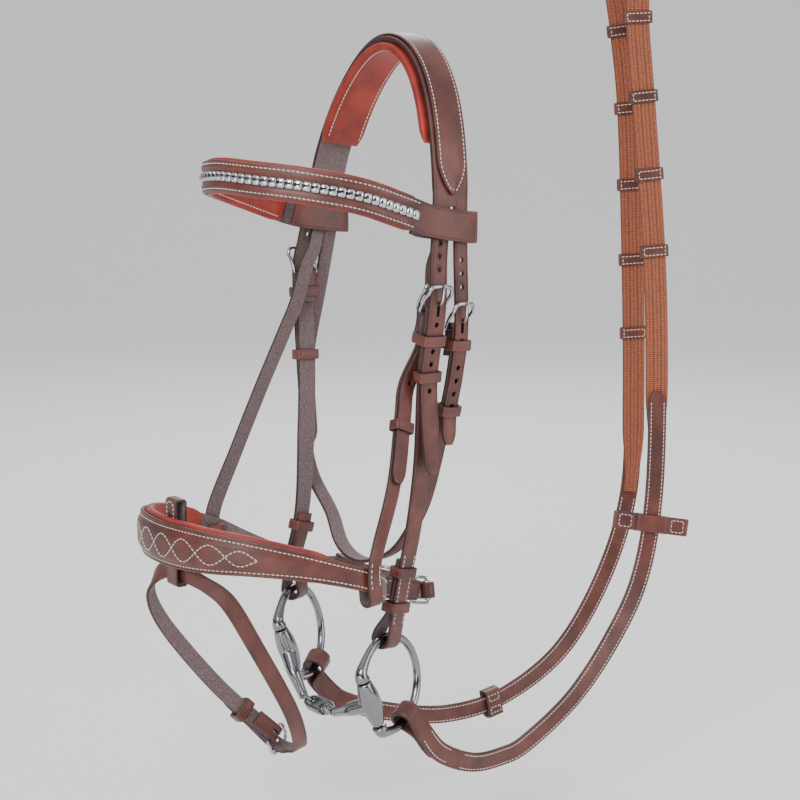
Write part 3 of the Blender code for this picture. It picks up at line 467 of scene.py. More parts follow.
def section(width, thick, top=CREASED, under=PLAIN, bulge=0.0, belly=0.0, columns=0):
    """A strap's cross-section: points (across, out) and the side each one starts.

    `bulge` raises the middle of the upper side and `belly` that of the lower.
    """
    half = width / 2
    halves = []
    for shape, rise in ((top, bulge), (under, belly)):
        squeeze = min(1.0, half / (shape[-1][0] + 0.6))
        line = [(edge * squeeze, height) for edge, height in shape]
        last = line[-1][0]
        steps = 12 if columns else 4
        line += [(last + (half - last) * k / steps, 1.0) for k in range(1, steps + 1)]
        points = []
        for edge, height in line:
            share = min(max((edge - 2.6) / max(min(half - 2.6, 6.0), 0.1), 0.0), 1.0)
            lift = rise * math.sin(share * math.pi / 2) ** 1.5
            ribs = -0.28 * (0.5 + 0.5 * math.cos(2 * math.pi * columns * edge / width)) if columns else 0.0
            ribs = ribs if edge > 0.4 else 0.0
            points.append((edge, height * thick / 2 + lift + ribs))
        halves.append(points)
    upper, lower = halves
    loop = []
    for edge, height in upper:
        loop.append((edge - half, height, EDGE_SIDE if edge < 0.35 else GRAIN_SIDE))
    for edge, height in upper[-2::-1]:
        loop.append((half - edge, height, EDGE_SIDE if edge < 0.45 else GRAIN_SIDE))
    for edge, height in lower[1:]:
        loop.append((half - edge, -height, EDGE_SIDE if edge < 0.35 else FLESH_SIDE))
    for edge, height in lower[-2:0:-1]:
        loop.append((edge - half, -height, EDGE_SIDE if edge < 0.45 else FLESH_SIDE))
    return loop


def place_object(name, data):
    made = bpy.data.objects.new(name, data)
    bpy.context.scene.collection.objects.link(made)
    return made


def mesh_object(name, points, faces, sides, materials, sharp=50.0):
    mesh = bpy.data.meshes.new(name)
    mesh.from_pydata([tuple(p) for p in points], [], faces)
    for material in materials:
        mesh.materials.append(material)
    mesh.polygons.foreach_set("material_index", sides)
    mesh.polygons.foreach_set("use_smooth", [True] * len(faces))
    shape = bmesh.new()
    shape.from_mesh(mesh)
    bmesh.ops.recalc_face_normals(shape, faces=shape.faces)
    shape.to_mesh(mesh)
    shape.free()
    mesh.set_sharp_from_angle(angle=math.radians(sharp))
    return place_object(name, mesh)


def ring_faces(base, rings, sides):
    """The faces of a closed lump: rings of `sides` points each, from point `base` on."""
    faces = []
    last = base + (rings - 1) * sides
    for low in range(base, last, sides):
        for j in range(sides):
            after = (j + 1) % sides
            faces.append((low + j, low + after, low + sides + after, low + sides + j))
    return faces + [tuple(range(base, base + sides)), tuple(range(last, last + sides))]


def sweep(name, rows, sections, materials=LEATHER, closed=False):
    """A solid swept along rows of (place, across, outward) with a section at each."""
    count = len(sections[0])
    points = []
    for (place, across, outward), loop in zip(rows, sections):
        points += [(place + across * x + outward * y) * MM for x, y, _ in loop]
    faces, sides = [], []
    total = len(rows)
    for i in range(total if closed else total - 1):
        low, high = i * count, (i + 1) % total * count
        for j in range(count):
            after = (j + 1) % count
            faces.append((low + j, low + after, high + after, high + j))
            sides.append(sections[i][j][2])
    if not closed:
        faces += [tuple(range(count)), tuple(range((total - 1) * count, total * count))]
        sides += [len(materials) - 1] * 2
    return mesh_object(name, points, faces, sides, materials)


def tip_width(width, far, length, start_tip, end_tip, reach=10.0, blunt=0.48):
    """Width near a rounded strap end; `blunt` is the share of it left at the very end."""
    shares = []
    if start_tip:
        shares.append(far / reach)
    if end_tip:
        shares.append((length - far) / reach)
    share = min(shares + [1.0])
    return width * (blunt + (1.0 - blunt) * math.sin(min(max(share, 0.0), 1.0) * math.pi / 2) ** 0.8)


def strap_rows(name, rows, width, thick=THICK, end_tip=False, materials=LEATHER):
    """A strap of one width along rows, with a rounded far end where asked."""
    far = row_lengths(rows)
    sections = [section(tip_width(width, f, far[-1], False, end_tip), thick) for f in far]
    return sweep(name, rows, sections, materials)


def rod(name, places, radii, material, closed=False, sides=16, step=1.6):
    """A round bar of changing thickness on a smooth curve through `places`."""
    places = [Vector(p) for p in places]
    packed = [Vector((p.x, p.y, p.z, r)) for p, r in zip(places, radii)]
    if closed:
        line = spline(packed[-2:] + packed + packed[:3], step)
        start = packed[0]
        first = min(range(len(line)), key=lambda k: ((line[k] - start).length, k))
        last = max(range(len(line)), key=lambda k: (-(line[k] - start).length if k > first + 2 else -1e9, k))
        line = line[first:last]
    else:
        line = spline(extended(packed), step) + [packed[-1]]
    return tube_along(name, [p.xyz for p in line], [p.w for p in line], material, closed, sides)


def tube_along(name, places, radii, material, closed=False, sides=16):
    count = len(places)
    points = []
    side = None
    for k, (place, radius) in enumerate(zip(places, radii)):
        before = places[k - 1] if closed or k else place
        after = places[(k + 1) % count] if closed or k < count - 1 else place
        along = (after - before).normalized()
        if side is None:
            side = along.orthogonal().normalized()
        side = (side - along * side.dot(along)).normalized()
        up = along.cross(side)
        for j in range(sides):
            angle = 2 * math.pi * j / sides
            points.append((place + (side * math.cos(angle) + up * math.sin(angle)) * radius) * MM)
    faces = []
    turn = 0
    if closed:
        turn = seam_shift(points, count, sides)
    for i in range(count if closed else count - 1):
        low, high = i * sides, (i + 1) % count * sides
        shift = turn if i == count - 1 else 0
        for j in range(sides):
            after = (j + 1) % sides
            faces.append((low + j, low + after, high + (after + shift) % sides, high + (j + shift) % sides))
    if not closed:
        faces += [tuple(range(sides)), tuple(range((count - 1) * sides, count * sides))]
    return mesh_object(name, points, faces, [0] * len(faces), (material,))


def seam_shift(points, count, sides):
    """How far the first ring is turned from the last, where a closed bar meets itself."""
    last = [points[(count - 1) * sides + j] for j in range(sides)]
    gaps = []
    for shift in range(sides):
        gaps.append(sum((last[j] - points[(j + shift) % sides]).length for j in range(sides)))
    return gaps.index(min(gaps))


def joined(name, pieces):
    """One object from several."""
    shape = bmesh.new()
    materials = []
    for piece in pieces:
        for material in piece.data.materials:
            if material not in materials:
                materials.append(material)
    for piece in pieces:
        start = len(shape.faces)
        shape.from_mesh(piece.data)
        shape.faces.ensure_lookup_table()
        own = [materials.index(m) for m in piece.data.materials]
        for face in shape.faces[start:]:
            face.material_index = own[face.material_index]
    mesh = bpy.data.meshes.new(name)
    shape.to_mesh(mesh)
    shape.free()
    for material in materials:
        mesh.materials.append(material)
    for piece in pieces:
        bpy.data.objects.remove(piece, do_unlink=True)
    return place_object(name, mesh)


def baked(made, sharp=None):
    """Applies the modifiers of an object to its mesh."""
    graph = bpy.context.evaluated_depsgraph_get()
    mesh = bpy.data.meshes.new_from_object(made.evaluated_get(graph))
    made.modifiers.clear()
    made.data = mesh
    if sharp:
        mesh.polygons.foreach_set("use_smooth", [True] * len(mesh.polygons))
        mesh.set_sharp_from_angle(angle=math.radians(sharp))
    return made


def cut(made, cutter, operation="DIFFERENCE"):
    change = made.modifiers.new("cut", "BOOLEAN")
    change.operation = operation
    change.object = cutter
    baked(made)
    bpy.data.objects.remove(cutter, do_unlink=True)
    return made


def settle(piece, body, slot, *nodes, fill=None):
    """Says what a piece moves with and which solids it stands for; what it is made of (`slot`, `fill`) is not
    used.
    """
    piece.location.z += SEAT_RISE * MM
    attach(piece, body)
    if nodes:
        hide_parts(*nodes)
    return piece


def leather(piece, body, *nodes):
    return settle(piece, body, "leather", *nodes)


# ----------------------------------------------------------------- stitching

class Thread:
    """A run of separate stitches, made into one piece at the end."""

    def __init__(self):
        self.stitches = []

    def add(self, place, along, up):
        self.stitches.append((place, along.normalized(), up.normalized()))

    def line(self, route, start, end, side, out):
        """Stitches beside a route at a constant distance from its middle."""
        count = max(1, round(abs(end - start) / PITCH))
        for k in range(count):
            far = start + (end - start) * (k + 0.5) / count
            place, along, across, outward = route.at(far)
            spot = place + across * side + outward * out
            self.add(spot, along + across * STITCH_SLANT, outward)

    def path(self, spots, ups, closed=False):
        """Stitches along a polyline, spaced evenly."""
        spots, ups = list(spots), list(ups)
        if closed:
            spots.append(spots[0])
            ups.append(ups[0])
        far = lengths(spots)
        count = max(1, round(far[-1] / PITCH))
        for k in range(count):
            mark = far[-1] * (k + 0.5) / count
            i = min(bisect.bisect_right(far, mark) - 1, len(spots) - 2)
            part = (mark - far[i]) / max(far[i + 1] - far[i], 1e-6)
            self.add(spots[i].lerp(spots[i + 1], part), spots[i + 1] - spots[i], ups[i])

    def make(self, name, body):
        stops = ((-0.5, 0.25), (-0.34, 0.85), (0.0, 1.0), (0.34, 0.85), (0.5, 0.25))
        sides = 6
        points, faces = [], []
        for place, along, up in self.stitches:
            across = along.cross(up).normalized()
            base = len(points)
            for share, size in stops:
                dip = -0.3 * THREAD * (2 * share) ** 2
                for j in range(sides):
                    angle = 2 * math.pi * j / sides
                    ring = across * math.cos(angle) + up * math.sin(angle)
                    spot = place + along * (share * STITCH) + up * dip + ring * (THREAD * size)
                    points.append(spot * MM)
            faces += ring_faces(base, len(stops), sides)
        made = mesh_object(name, points, faces, [0] * len(faces), (COTTON,), 80.0)
        return leather(made, body)


# ------------------------------------------------------------- shared pieces

def round_rows(frame, centre, half, tall, bend, step):
    """Rows round a rectangle with rounded corners, which stands across a strap."""
    place, along, across, outward = frame
    rows = []
    for sx, sy, start in ((1, -1, -90), (1, 1, 0), (-1, 1, 90), (-1, -1, 180)):
        for turn in range(0, 91, step):
            angle = math.radians(start + turn)
            x = centre[0] + sx * (half - bend) + bend * math.cos(angle)
            y = centre[1] + sy * (tall - bend) + bend * math.sin(angle)
            normal = across * math.cos(angle) + outward * math.sin(angle)
            rows.append((place + across * x + outward * y, along, normal))
    return rows


def band(name, body, route, far, low, high, width, length=8.0, wall=KEEPER_WALL, side=0.0, stitched=False):
    """A keeper: a leather band round everything from `low` to `high` on the strap."""
    place, along, across, outward = route.at(far)
    half = width / 2 + KEEPER_SLACK + wall / 2
    top, bottom = high + KEEPER_SLACK + wall / 2, low - KEEPER_SLACK - wall / 2
    centre = Vector((side, (top + bottom) / 2))
    tall = (top - bottom) / 2
    rows = round_rows(route.at(far), centre, half, tall, min(2.0, tall * 0.8), 15)
    loop = section(length, wall)
    made = sweep(name, rows, [loop] * len(rows), LEATHER, closed=True)
    leather(made, body, name)
    if stitched:
        thread = Thread()
        for edge in (-1, 1):
            for k in range(3):
                spot = place + along * (edge * (length / 2 - 2.4)) + across * (side + (k - 1) * 3.4)
                thread.add(spot + outward * (top + wall / 2), across, outward)
        thread.make(name + "_stitching", body)
    return made


def buckle_outline(half, height, heel, top):
    """Points (across, ahead, out) round a buckle from the middle of its heel bar, and the bar's radii."""
    side = [(half - 1.5, 0, heel), (half, 0.6, heel), (half + 0.4, height * 0.25, heel * 0.7),
            (half + 0.5, height * 0.5, (heel + top) / 2), (half + 0.2, height * 0.72, top * 0.6),
            (half - 0.4, height - 2.4, top - 0.3), (half - 2.6, height - 0.2, top + 0.2),
            (half * 0.4, height + 0.2, top + 0.6)]
    mirror = [(-x, y, z) for x, y, z in side][::-1]
    radii = [1.0, 1.15, 1.25, 1.3, 1.35, 1.45, 1.5, 1.5]
    outline = [(0.0, 0, heel)] + side + [(0.0, height + 0.2, top + 0.7)] + mirror
    return outline, [0.95] + radii + [1.5] + radii[::-1]


def tongue_path(heel, rest, billet_out, height):
    """Points (across, ahead, out) of a tongue: hooked round the heel bar, then forward to the frame."""
    hook = BAR_RADIUS + 0.95
    path = []
    for turn in range(-40, -300, -26):
        angle = math.radians(turn)
        path.append((0.0, math.cos(angle) * hook, heel + math.sin(angle) * hook))
    path += [(0.0, 3.4, billet_out - 1.2), (0.0, 6.2, rest - 2.6), (0.0, 10.0, rest - 0.5)]
    return path + [(0.0, height - 2.0, rest), (0.0, height + 2.6, rest - 0.1)]


def buckle(prefix, body, tongue_body, route, far, width, billet_out=0.0, fold_out=UNDER, point=-1.0,
           height=19.0):
    """A heel-bar buckle with an arched, polished frame, and its tongue."""
    place, along, across, outward = route.at(far)
    heel = fold_out - FOLD_RADIUS
    top = billet_out + THICK / 2 + GAP + BAR_RADIUS
    ahead = along * point

    def spot(side, reach, out):
        return place + across * side + ahead * reach + outward * out

    outline, radii = buckle_outline(width / 2 + GAP + BAR_RADIUS + 1.0, height, heel, top)
    ring = rod(prefix + "_buckle", [spot(*p) for p in outline], radii, BUCKLE_STEEL, closed=True, step=1.0)
    settle(ring, body, "buckle_steel", prefix + "_buckle")
    path = tongue_path(heel, top + 0.7 + BAR_RADIUS + GAP + 0.75, billet_out, height)
    sizes = [0.62] * (len(path) - 4) + [0.75, 0.95, 1.0, 0.75]
    tongue = rod(prefix + "_tongue", [spot(*p) for p in path], sizes, BUCKLE_STEEL, sides=12, step=0.8)
    return settle(tongue, tongue_body, "buckle_steel", prefix + "_tongue")


def hole_cutter(name, spots):
    """Round punches at (place, direction) spots, all in one object."""
    pieces = []
    for k, (place, direction) in enumerate(spots):
        ends = [place - direction * PUNCH_REACH, place + direction * PUNCH_REACH]
        pieces.append(tube_along(f"{name}_{k}", ends, [HOLE_RADIUS] * 2, EDGE, sides=14))
    return joined(name, pieces)


def punch(strap, route, marks):
    """Punches a row of billet holes."""
    spots = []
    for far in marks:
        _, _, _, outward = route.at(far)
        spots.append((route.spot(far), outward))
    return cut(strap, hole_cutter("punch", spots))


def slot_cutter(name, place, along, across, outward, sizes):
    shape = bmesh.new()
    bmesh.ops.create_cube(shape, size=1.0)
    turn = Matrix((along * sizes[0], across * sizes[1], outward * sizes[2])).transposed()
    bmesh.ops.transform(shape, matrix=turn.to_4x4(), verts=shape.verts)
    bmesh.ops.translate(shape, vec=place, verts=shape.verts)
    bmesh.ops.scale(shape, vec=(MM, MM, MM), verts=shape.verts)
    bmesh.ops.recalc_face_normals(shape, faces=shape.faces)
    mesh = bpy.data.meshes.new(name)
    shape.to_mesh(mesh)
    shape.free()
    mesh.materials.append(EDGE)
    return place_object(name, mesh)


def tongue_slots(route, far, billet, folded, point=-1.0, billet_out=0.0):
    """The hole in the billet and the notch in the fold that a tongue passes through."""
    place, along, across, outward = route.at(far)
    ahead = along * point
    if billet:
        middle = place + ahead * 2.6 + outward * billet_out
        cut(billet, slot_cutter("hole", middle, along, across, outward, (11.0, 2.6, 8.0)))
    if folded:
        cut(folded, slot_cutter("notch", place + ahead * 3.0, along, across, outward, (14.0, 3.0, 40.0)))


# ------------------------------------------------------------------ headpiece

def crown_place(turn):
    """A point of the arch over the poll, `turn` radians from its top."""
    side = CROWN_HALF_SPAN * math.sin(turn)
    height = CROWN_TOP - CROWN_DROP * (1.0 - math.cos(turn))
    lean = CROWN_LEAN * abs(math.sin(turn) / math.sin(CROWN_SWEEP)) ** 3
    return Vector((side, lean, height))


def crown_route():
    turns = [CROWN_SWEEP * k / 8 for k in range(-8, 9)]
    points = [crown_place(turn) for turn in turns]
    faces = [Vector((math.sin(turn), 0.0, 0.55 * math.cos(turn))) for turn in turns]
    return Route(points, faces)


def cheek_heel(side):
    """Where the cheek buckle's heel bar stands: lower on the near side."""
    return Vector((87.0, -34.3, -197.0)) if side > 0 else Vector((-87.0, -34.0, -179.0))


def cheek_route(side):
    top = [(79.8, -24.7, -121), (82, -26.7, -134), (84.6, -31, -157)]
    if side > 0:
        low = [(80, -36, -245), (73, -34, -310), (67, -36.5, -360), (63, -44.5, -410), (61.6, -50.9, -447.5)]
        turned = [(1, 0.1, -0.1), (1, 0.2, -0.1), (0.96, 0.27, -0.1)]
    else:
        low = [(80, -36, -245), (75, -41, -310), (72, -48, -368), (74, -57.5, -405), (76.4, -61.6, -432)]
        turned = [(1, -0.2, -0.1), (1, -0.4, 0), (0.888, -0.457, 0.046)]
    points = mirrored(top, side) + [cheek_heel(side)] + mirrored(low, side)
    faces = [(1, 0, 0.1), (1, 0, 0), (1, 0, 0), (1, 0, -0.05), (1, 0.03, -0.1), (1, 0.06, -0.1)] + turned
    return Route(points, mirrored(faces, side))


def cheek_billet_route(side):
    top = [(78.1, -23.2, -110), (79.8, -24.7, -121), (82, -26.7, -134), (84.6, -31, -157)]
    low = [(80, -36, -245), (79, -34, -284), (80, -31, -318)]
    points = mirrored(top, side) + [cheek_heel(side)] + mirrored(low, side)
    return Route(points, Vector((side, 0, 0)))


def throat_billet_route():
    points = [(78.1, -5.3, -110), (79.8, -6.8, -121), (82, -8.6, -134), (84.6, -10.4, -157), THROAT_HEEL,
              (82.5, -12, -245), (79, -15, -272), (80, -17, -298)]
    return Route(points, Vector((1, 0, 0)))


def build_billet(name, route, width, buckle_place):
    rows = route.run(0.0, route.length)
    made = strap_rows(name, rows, width, end_tip=True)
    held = route.nearest(buckle_place)
    marks = [held + 9.0 + HOLE_PITCH * k for k in (-6, -5, -4, 0, 2, 3, 4, 5)]
    marks = [far for far in marks if far < route.length - 26.0]
    punch(made, route, marks)
    tongue_slots(route, held, made, None)
    return leather(made, ROOT, "headpiece")


def build_headpiece():
    crown = crown_route()
    rows = crown.run(0.0, crown.length)
    sections = []
    for far in row_lengths(rows):
        end = min(far, crown.length - far)
        thick = THICK + (CROWN_THICK - THICK) * min(end / 20.0, 1.0)
        sections.append(section(CROWN_WIDTH - 1.0 * max(0.0, 1.0 - end / 14.0), thick))
    leather(sweep("headpiece_crown", rows, sections), ROOT, "headpiece")
    for side, name in ((1, "near"), (-1, "off")):
        build_billet(name + "_cheek_billet", cheek_billet_route(side), CHEEK_WIDTH, cheek_heel(side))
    build_billet("near_throat_billet", throat_billet_route(), THIN_WIDTH, THROAT_HEEL)
    build_crown_lining(crown)
    build_crown_overlay(crown)


def lining(name, rows, widths, thin, thick, belly, reach):
    """Padding with rolled rims: `thin` at its ends, and full within `reach` of them."""
    far = row_lengths(rows)
    sections = []
    for f, width in zip(far, widths):
        swell = math.sin(min(min(f, far[-1] - f) / reach, 1.0) * math.pi / 2)
        sections.append(section(width - 5.0 * (1 - swell), thin + (thick - thin) * swell, top=ROUND,
                                under=ROUND, belly=belly * swell))
    settle(sweep(name, rows, sections, LINING), ROOT, "lining", name, fill=0.8)


def build_crown_lining(crown):
    """The padding under the poll, with a row of stitches inside either rim."""
    rows = crown.run(LINING_SKIP, crown.length - LINING_SKIP, out=-(CROWN_THICK / 2 + 2 * GAP + 3.0))
    lining("crown_lining", rows, [40.0] * len(rows), 3.0, 6.0, 0.6, 12.0)
    thread = Thread()
    for side in (-15.4, 15.4):
        thread.line(crown, 52.0, crown.length - 52.0, side, -8.95)
    thread.make("crown_lining_stitching", ROOT)


def build_crown_overlay(crown):
    out = CROWN_THICK / 2 + GAP + 1.0
    start, end = 8.0, crown.length - 8.0
    rows = crown.run(start, end, out=out)
    far = row_lengths(rows)
    widths = [tip_width(OVERLAY_WIDTH, f, far[-1], True, True, 26.0, 0.12) for f in far]
    sections = [section(width, 2.0, bulge=0.5) for width in widths]
    leather(sweep("crown_overlay", rows, sections), ROOT, "crown_overlay")
    thread = Thread()
    left, right, ups_left, ups_right = [], [], [], []
    for (place, across, outward), width in zip(rows, widths):
        half = width / 2 - 2.4
        if half < 0.6:
            continue
        left.append(place - across * half + outward * 1.15)
        right.append(place + across * half + outward * 1.15)
        ups_left.append(outward)
        ups_right.append(outward)
    thread.path(left + right[::-1], ups_left + ups_right[::-1], closed=True)
    thread.make("crown_overlay_stitching", ROOT)


# ------------------------------------------------------------------- browband

def browband_route():
    half = [(75.9, -47, -129), (73.9, -36.8, -132), (72.9, -2.8, -136), (76.9, 5.2, -136.5),
            (84.9, 4.2, -136.5), (87.8, -3.8, -136.5), (87.6, -37.8, -131), (87.6, -66, -122),
            (84, -100, -111.5), (62, -134, -104), (32, -156, -100)]
    faces = [(-1, 0, 0), (-1, 0, 0), (-1, 0.1, 0), (-0.5, 1, 0), (0.5, 1, 0), (1, 0.1, 0), (1, 0, 0),
             (1, -0.1, 0), (1, -0.4, 0), (1, -1.1, 0), (0.4, -1, 0)]
    points = half + [(0, -163, -98)] + mirrored(half, -1)[::-1]
    return Route(points, faces + [(0, -1, 0)] + mirrored(faces, -1)[::-1])


# A raised rail at either edge, with a channel between them for the clincher.
RAILS = ((0.0, 0.0), (0.1, 0.5), (0.42, 0.9), (1.2, 1.25), (2.6, 1.3), (4.2, 1.75), (5.6, 1.7), (6.9, 1.0),
         (7.6, 0.92))


def build_browband():
    route = browband_route()
    start = route.nearest((86.6, -51, -127))
    rows = route.run(0.0, route.length, 3.0)
    sections = []
    for far in row_lengths(rows):
        share = min(max((min(far, route.length - far) - start) / 8.0, 0.0), 1.0)
        plain = section(BROWBAND_WIDTH, BROWBAND_THICK, top=CREASED + ((7.6, 1.0),))
        railed = section(BROWBAND_WIDTH, BROWBAND_THICK, top=RAILS)
        sections.append([(a[0] + (b[0] - a[0]) * share, a[1] + (b[1] - a[1]) * share, a[2])
                         for a, b in zip(plain, railed)])
    leather(sweep("browband", rows, sections), ROOT, "browband")
    inner = route.run(start, route.length - start, out=-3.6)
    lining("browband_lining", inner, [26.0] * len(inner), 1.8, 4.0, 0.9, 10.0)
    build_clinchers(route, start)
    thread = Thread()
    for side in (-8.9, 8.9):
        thread.line(route, start + 3.0, route.length - start - 3.0, side, 1.75)
        thread.line(route, start + 4.0, route.length - start - 4.0, side, -5.9)
    thread.make("browband_stitching", ROOT)


def build_clinchers(route, start):
    """A row of square domed metal studs, touching one another."""
    first, last = start + 1.0, route.length - start - 1.0
    count = round((last - first) / 6.1)
    pitch = (last - first) / count
    ring_sizes = ((1.0, 0.0), (1.0, 0.6), (0.93, 1.05), (0.66, 1.6), (0.32, 1.9))
    points, faces = [], []
    for k in range(count):
        place, along, across, outward = route.at(first + pitch * (k + 0.5))
        base = len(points)
        for size, rise in ring_sizes:
            for j in range(16):
                angle = 2 * math.pi * (j + 0.5) / 16
                c, s = math.cos(angle), math.sin(angle)
                square = (abs(c) ** 9 + abs(s) ** 9) ** (-1 / 9)
                x = c * square * size * (pitch / 2 - 0.1)
                y = s * square * size * 3.4
                points.append((place + along * x + across * y + outward * (1.75 + rise)) * MM)
        faces += ring_faces(base, len(ring_sizes), 16)
    made = mesh_object("browband_clincher", points, faces, [0] * len(faces), (CHROME,), 40.0)
    settle(made, ROOT, "clincher", "browband_clincher")


# --------------------------------------------------------- cheeks, throatlatch

def sewn_fold(thread, route, start, end, width, out, inset=2.4):
    """Two rows of stitching that close a fold."""
    for side in (-1, 1):
        thread.line(route, start, end, side * (width / 2 - inset), out)


def build_cheek(name, side):
    route = cheek_route(side)
    top = route.nearest(cheek_heel(side))
    bottom = route.length
    loop = (RING_WIRE + LOOP_SLACK + THICK / 2, 62.0, THICK + GAP + 0.3)
    rows = folded_rows(route, top, bottom, UNDER, (FOLD_RADIUS, 24.0, 2 * FOLD_RADIUS), loop)
    piece = strap_rows(name + "_cheekpiece", rows, CHEEK_WIDTH)
    tongue_slots(route, top, None, piece)
    leather(piece, ROOT, name + "_cheekpiece")
    buckle(name + "_cheek", ROOT, name + "_cheek_tongue", route, top, CHEEK_WIDTH)
    inner, outer = UNDER - THICK / 2, THICK / 2
    band(name + "_cheek_keeper_fixed", ROOT, route, top + CHEEK_KEEPER_DROP[side], FOLDED_IN, outer,
         CHEEK_WIDTH)
    slider = slider_far(route, name + "_cheek_keeper_slide")
    band(name + "_cheek_keeper_sliding", name + "_cheek_keeper", route, slider, inner, outer + 0.1,
         CHEEK_WIDTH)
    back_in = UNDER - THICK - GAP - 0.3 - THICK / 2
    for place, far, low in (("upper", bottom - 52.0, 0.6), ("lower", bottom - 25.0, 2.4)):
        band(f"{name}_bit_keeper_{place}", ROOT, route, far, back_in - low, UNDER + THICK / 2, CHEEK_WIDTH)
    thread = Thread()
    sewn_fold(thread, route, bottom - 66.0, bottom - 12.0, CHEEK_WIDTH, UNDER + THICK / 2 + 0.05)
    thread.make(name + "_cheek_stitching", ROOT)


def throatlatch_route():
    points = [(82, -8.6, -134), (84.6, -10.4, -157), THROAT_HEEL, (82.5, -12, -245), (78.5, -15, -272),
              (61, -18, -336), (46, -21, -368), (28, -28, -392), (0, -37, -403), (-30, -36, -396),
              (-62, -25, -375), (-88, -26, -346), (-98, -26, -310), (-98, -23, -250), (-91.5, -14, -190),
              (-86, -10.6, -157), (-81.4, -8.8, -134), (-80.1, -7.4, -124.5)]
    faces = [(1, 0, 0)] * 4 + [(1, 0, -0.1), (1, 0, -0.4), (1, 0, -0.8), (0.5, 0, -1), (0, 0, -1)]
    faces += [(-0.5, 0, -1), (-1, 0, -1), (-1, 0, -0.4)] + [(-1, 0, 0)] * 4 + [(-1, 0, 0.1), (-1, 0, 0.15)]
    return Route(points, faces)


def build_throatlatch():
    route = throatlatch_route()
    top = route.nearest(THROAT_HEEL)
    rows = folded_rows(route, top, route.length, UNDER, (FOLD_RADIUS, 22.0, 2 * FOLD_RADIUS))
    piece = strap_rows("throatlatch", rows, THIN_WIDTH)
    tongue_slots(route, top, None, piece)
    leather(piece, ROOT, "throatlatch")
    buckle("throat", ROOT, "throat_tongue", route, top, THIN_WIDTH)
    band("throat_keeper_fixed", ROOT, route, top + 12.0, FOLDED_IN, THICK / 2, THIN_WIDTH)
    slider = slider_far(route, "throat_keeper_slide")
    band("throat_keeper_sliding", "throat_keeper", route, slider, UNDER - THICK / 2, THICK / 2 + 1.0,
         THIN_WIDTH)


def slider_far(route, joint):
    """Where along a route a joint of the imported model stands."""
    for entry in frame["record"]["behaviour"]["joints"]:
        if entry["name"] == joint:
            return route.nearest(Vector(entry["pos_m"]) / MM - Vector((0.0, 0.0, SEAT_RISE)))
    raise KeyError(joint)


# ------------------------------------------------------------------- noseband

def noseband_route():
    """From the near end behind the jaw, round the nose, to the off end."""
    sides = [(40.5, -47, -411), (53.5, -65, -406.5), (76, -76, -401), (95, -90, -393), (105.6, -107, -383),
             (102, -132, -374), (90, -160, -366), (68, -190, -360), (38, -210, -358)]
    faces = [(1, 0.25, 0), (0.7, 0.75, 0), (0.66, 0.75, 0), (0.8, 0.6, 0), (1, 0.1, 0), (1, -0.3, 0),
             (1, -0.65, 0), (0.6, -1, 0), (0.25, -1, 0)]
    near_end = [(40, -16, -419), (41, -31, -415)]
    off_end = [(-42, -33, -414), (-36, -20, -418), (-26, -10, -422)]
    points = near_end + sides + [(0, -216, -358)] + mirrored(sides, -1)[::-1] + off_end
    outward = [(1, 0, 0), (1, 0.05, 0)] + faces + [(0, -1, 0)] + mirrored(faces, -1)[::-1]
    outward += [(-1, 0.2, 0), (-0.8, 0.6, 0), (-0.7, 0.7, 0)]
    return Route(points, outward)


def noseband_width(share):
    """Height of the noseband: full at the front, narrow where it passes the cheeks."""
    front = 1.0 - abs(share - 0.5) * 2.0
    return NOSEBAND_NARROW + (NOSEBAND_WIDE - NOSEBAND_NARROW) * ease((front - 0.45) / 0.5)


def noseband_bulge(far, length):
    """How far the padded middle stands up: none behind the cheeks."""
    share = far / length
    front = 1.0 - abs(share - 0.5) * 2.0
    return (0.5 + 2.3 * ease((front - 0.5) / 0.4)) * ease((front - 0.22) / 0.1)


def lifted(width, bulge, side):
    """Height of a bulging strap's upper side at a distance from its middle."""
    half = width / 2
    share = min(max((half - abs(side) - 2.6) / max(min(half - 2.6, 6.0), 0.1), 0.0), 1.0)
    return bulge * math.sin(share * math.pi / 2) ** 1.5


def build_noseband():
    route = noseband_route()
    fold = (FOLD_RADIUS, 20.0, 2 * FOLD_RADIUS)
    rows = fold_rows(route, 0.0, 0.0, fold, -1.0)[::-1]
    folded = len(rows)
    sections = [section(CHEEK_WIDTH, THICK)] * folded
    middle = route.run(0.0, route.length)
    for k in range(len(middle)):
        share = k / (len(middle) - 1)
        near_end = ease(min(share, 1 - share) * 30.0)
        width = CHEEK_WIDTH + (noseband_width(share) - CHEEK_WIDTH) * near_end
        sections.append(section(width, THICK, bulge=noseband_bulge(share * route.length, route.length)))
    rows += middle + fold_rows(route, route.length, 0.0, fold, 1.0)
    sections += [section(CHEEK_WIDTH, THICK)] * folded
    piece = sweep("noseband", rows, sections)
    tongue_slots(route, route.length, None, piece, 1.0, CHIN_LIFT)
    leather(piece, ROOT, "noseband")
    build_noseband_lining(route)
    build_noseband_stitching(route)
    return route


def build_noseband_lining(route):
    start = route.nearest((101, -138, -372))
    rows = route.run(start, route.length - start, out=-(THICK / 2 + GAP + 3.7))
    widths = []
    for k in range(len(rows)):
        share = (start + (route.length - 2 * start) * k / (len(rows) - 1)) / route.length
        widths.append(noseband_width(share) + 3.4)
    lining("noseband_lining", rows, widths, 2.4, 6.6, 0.5, 14.0)


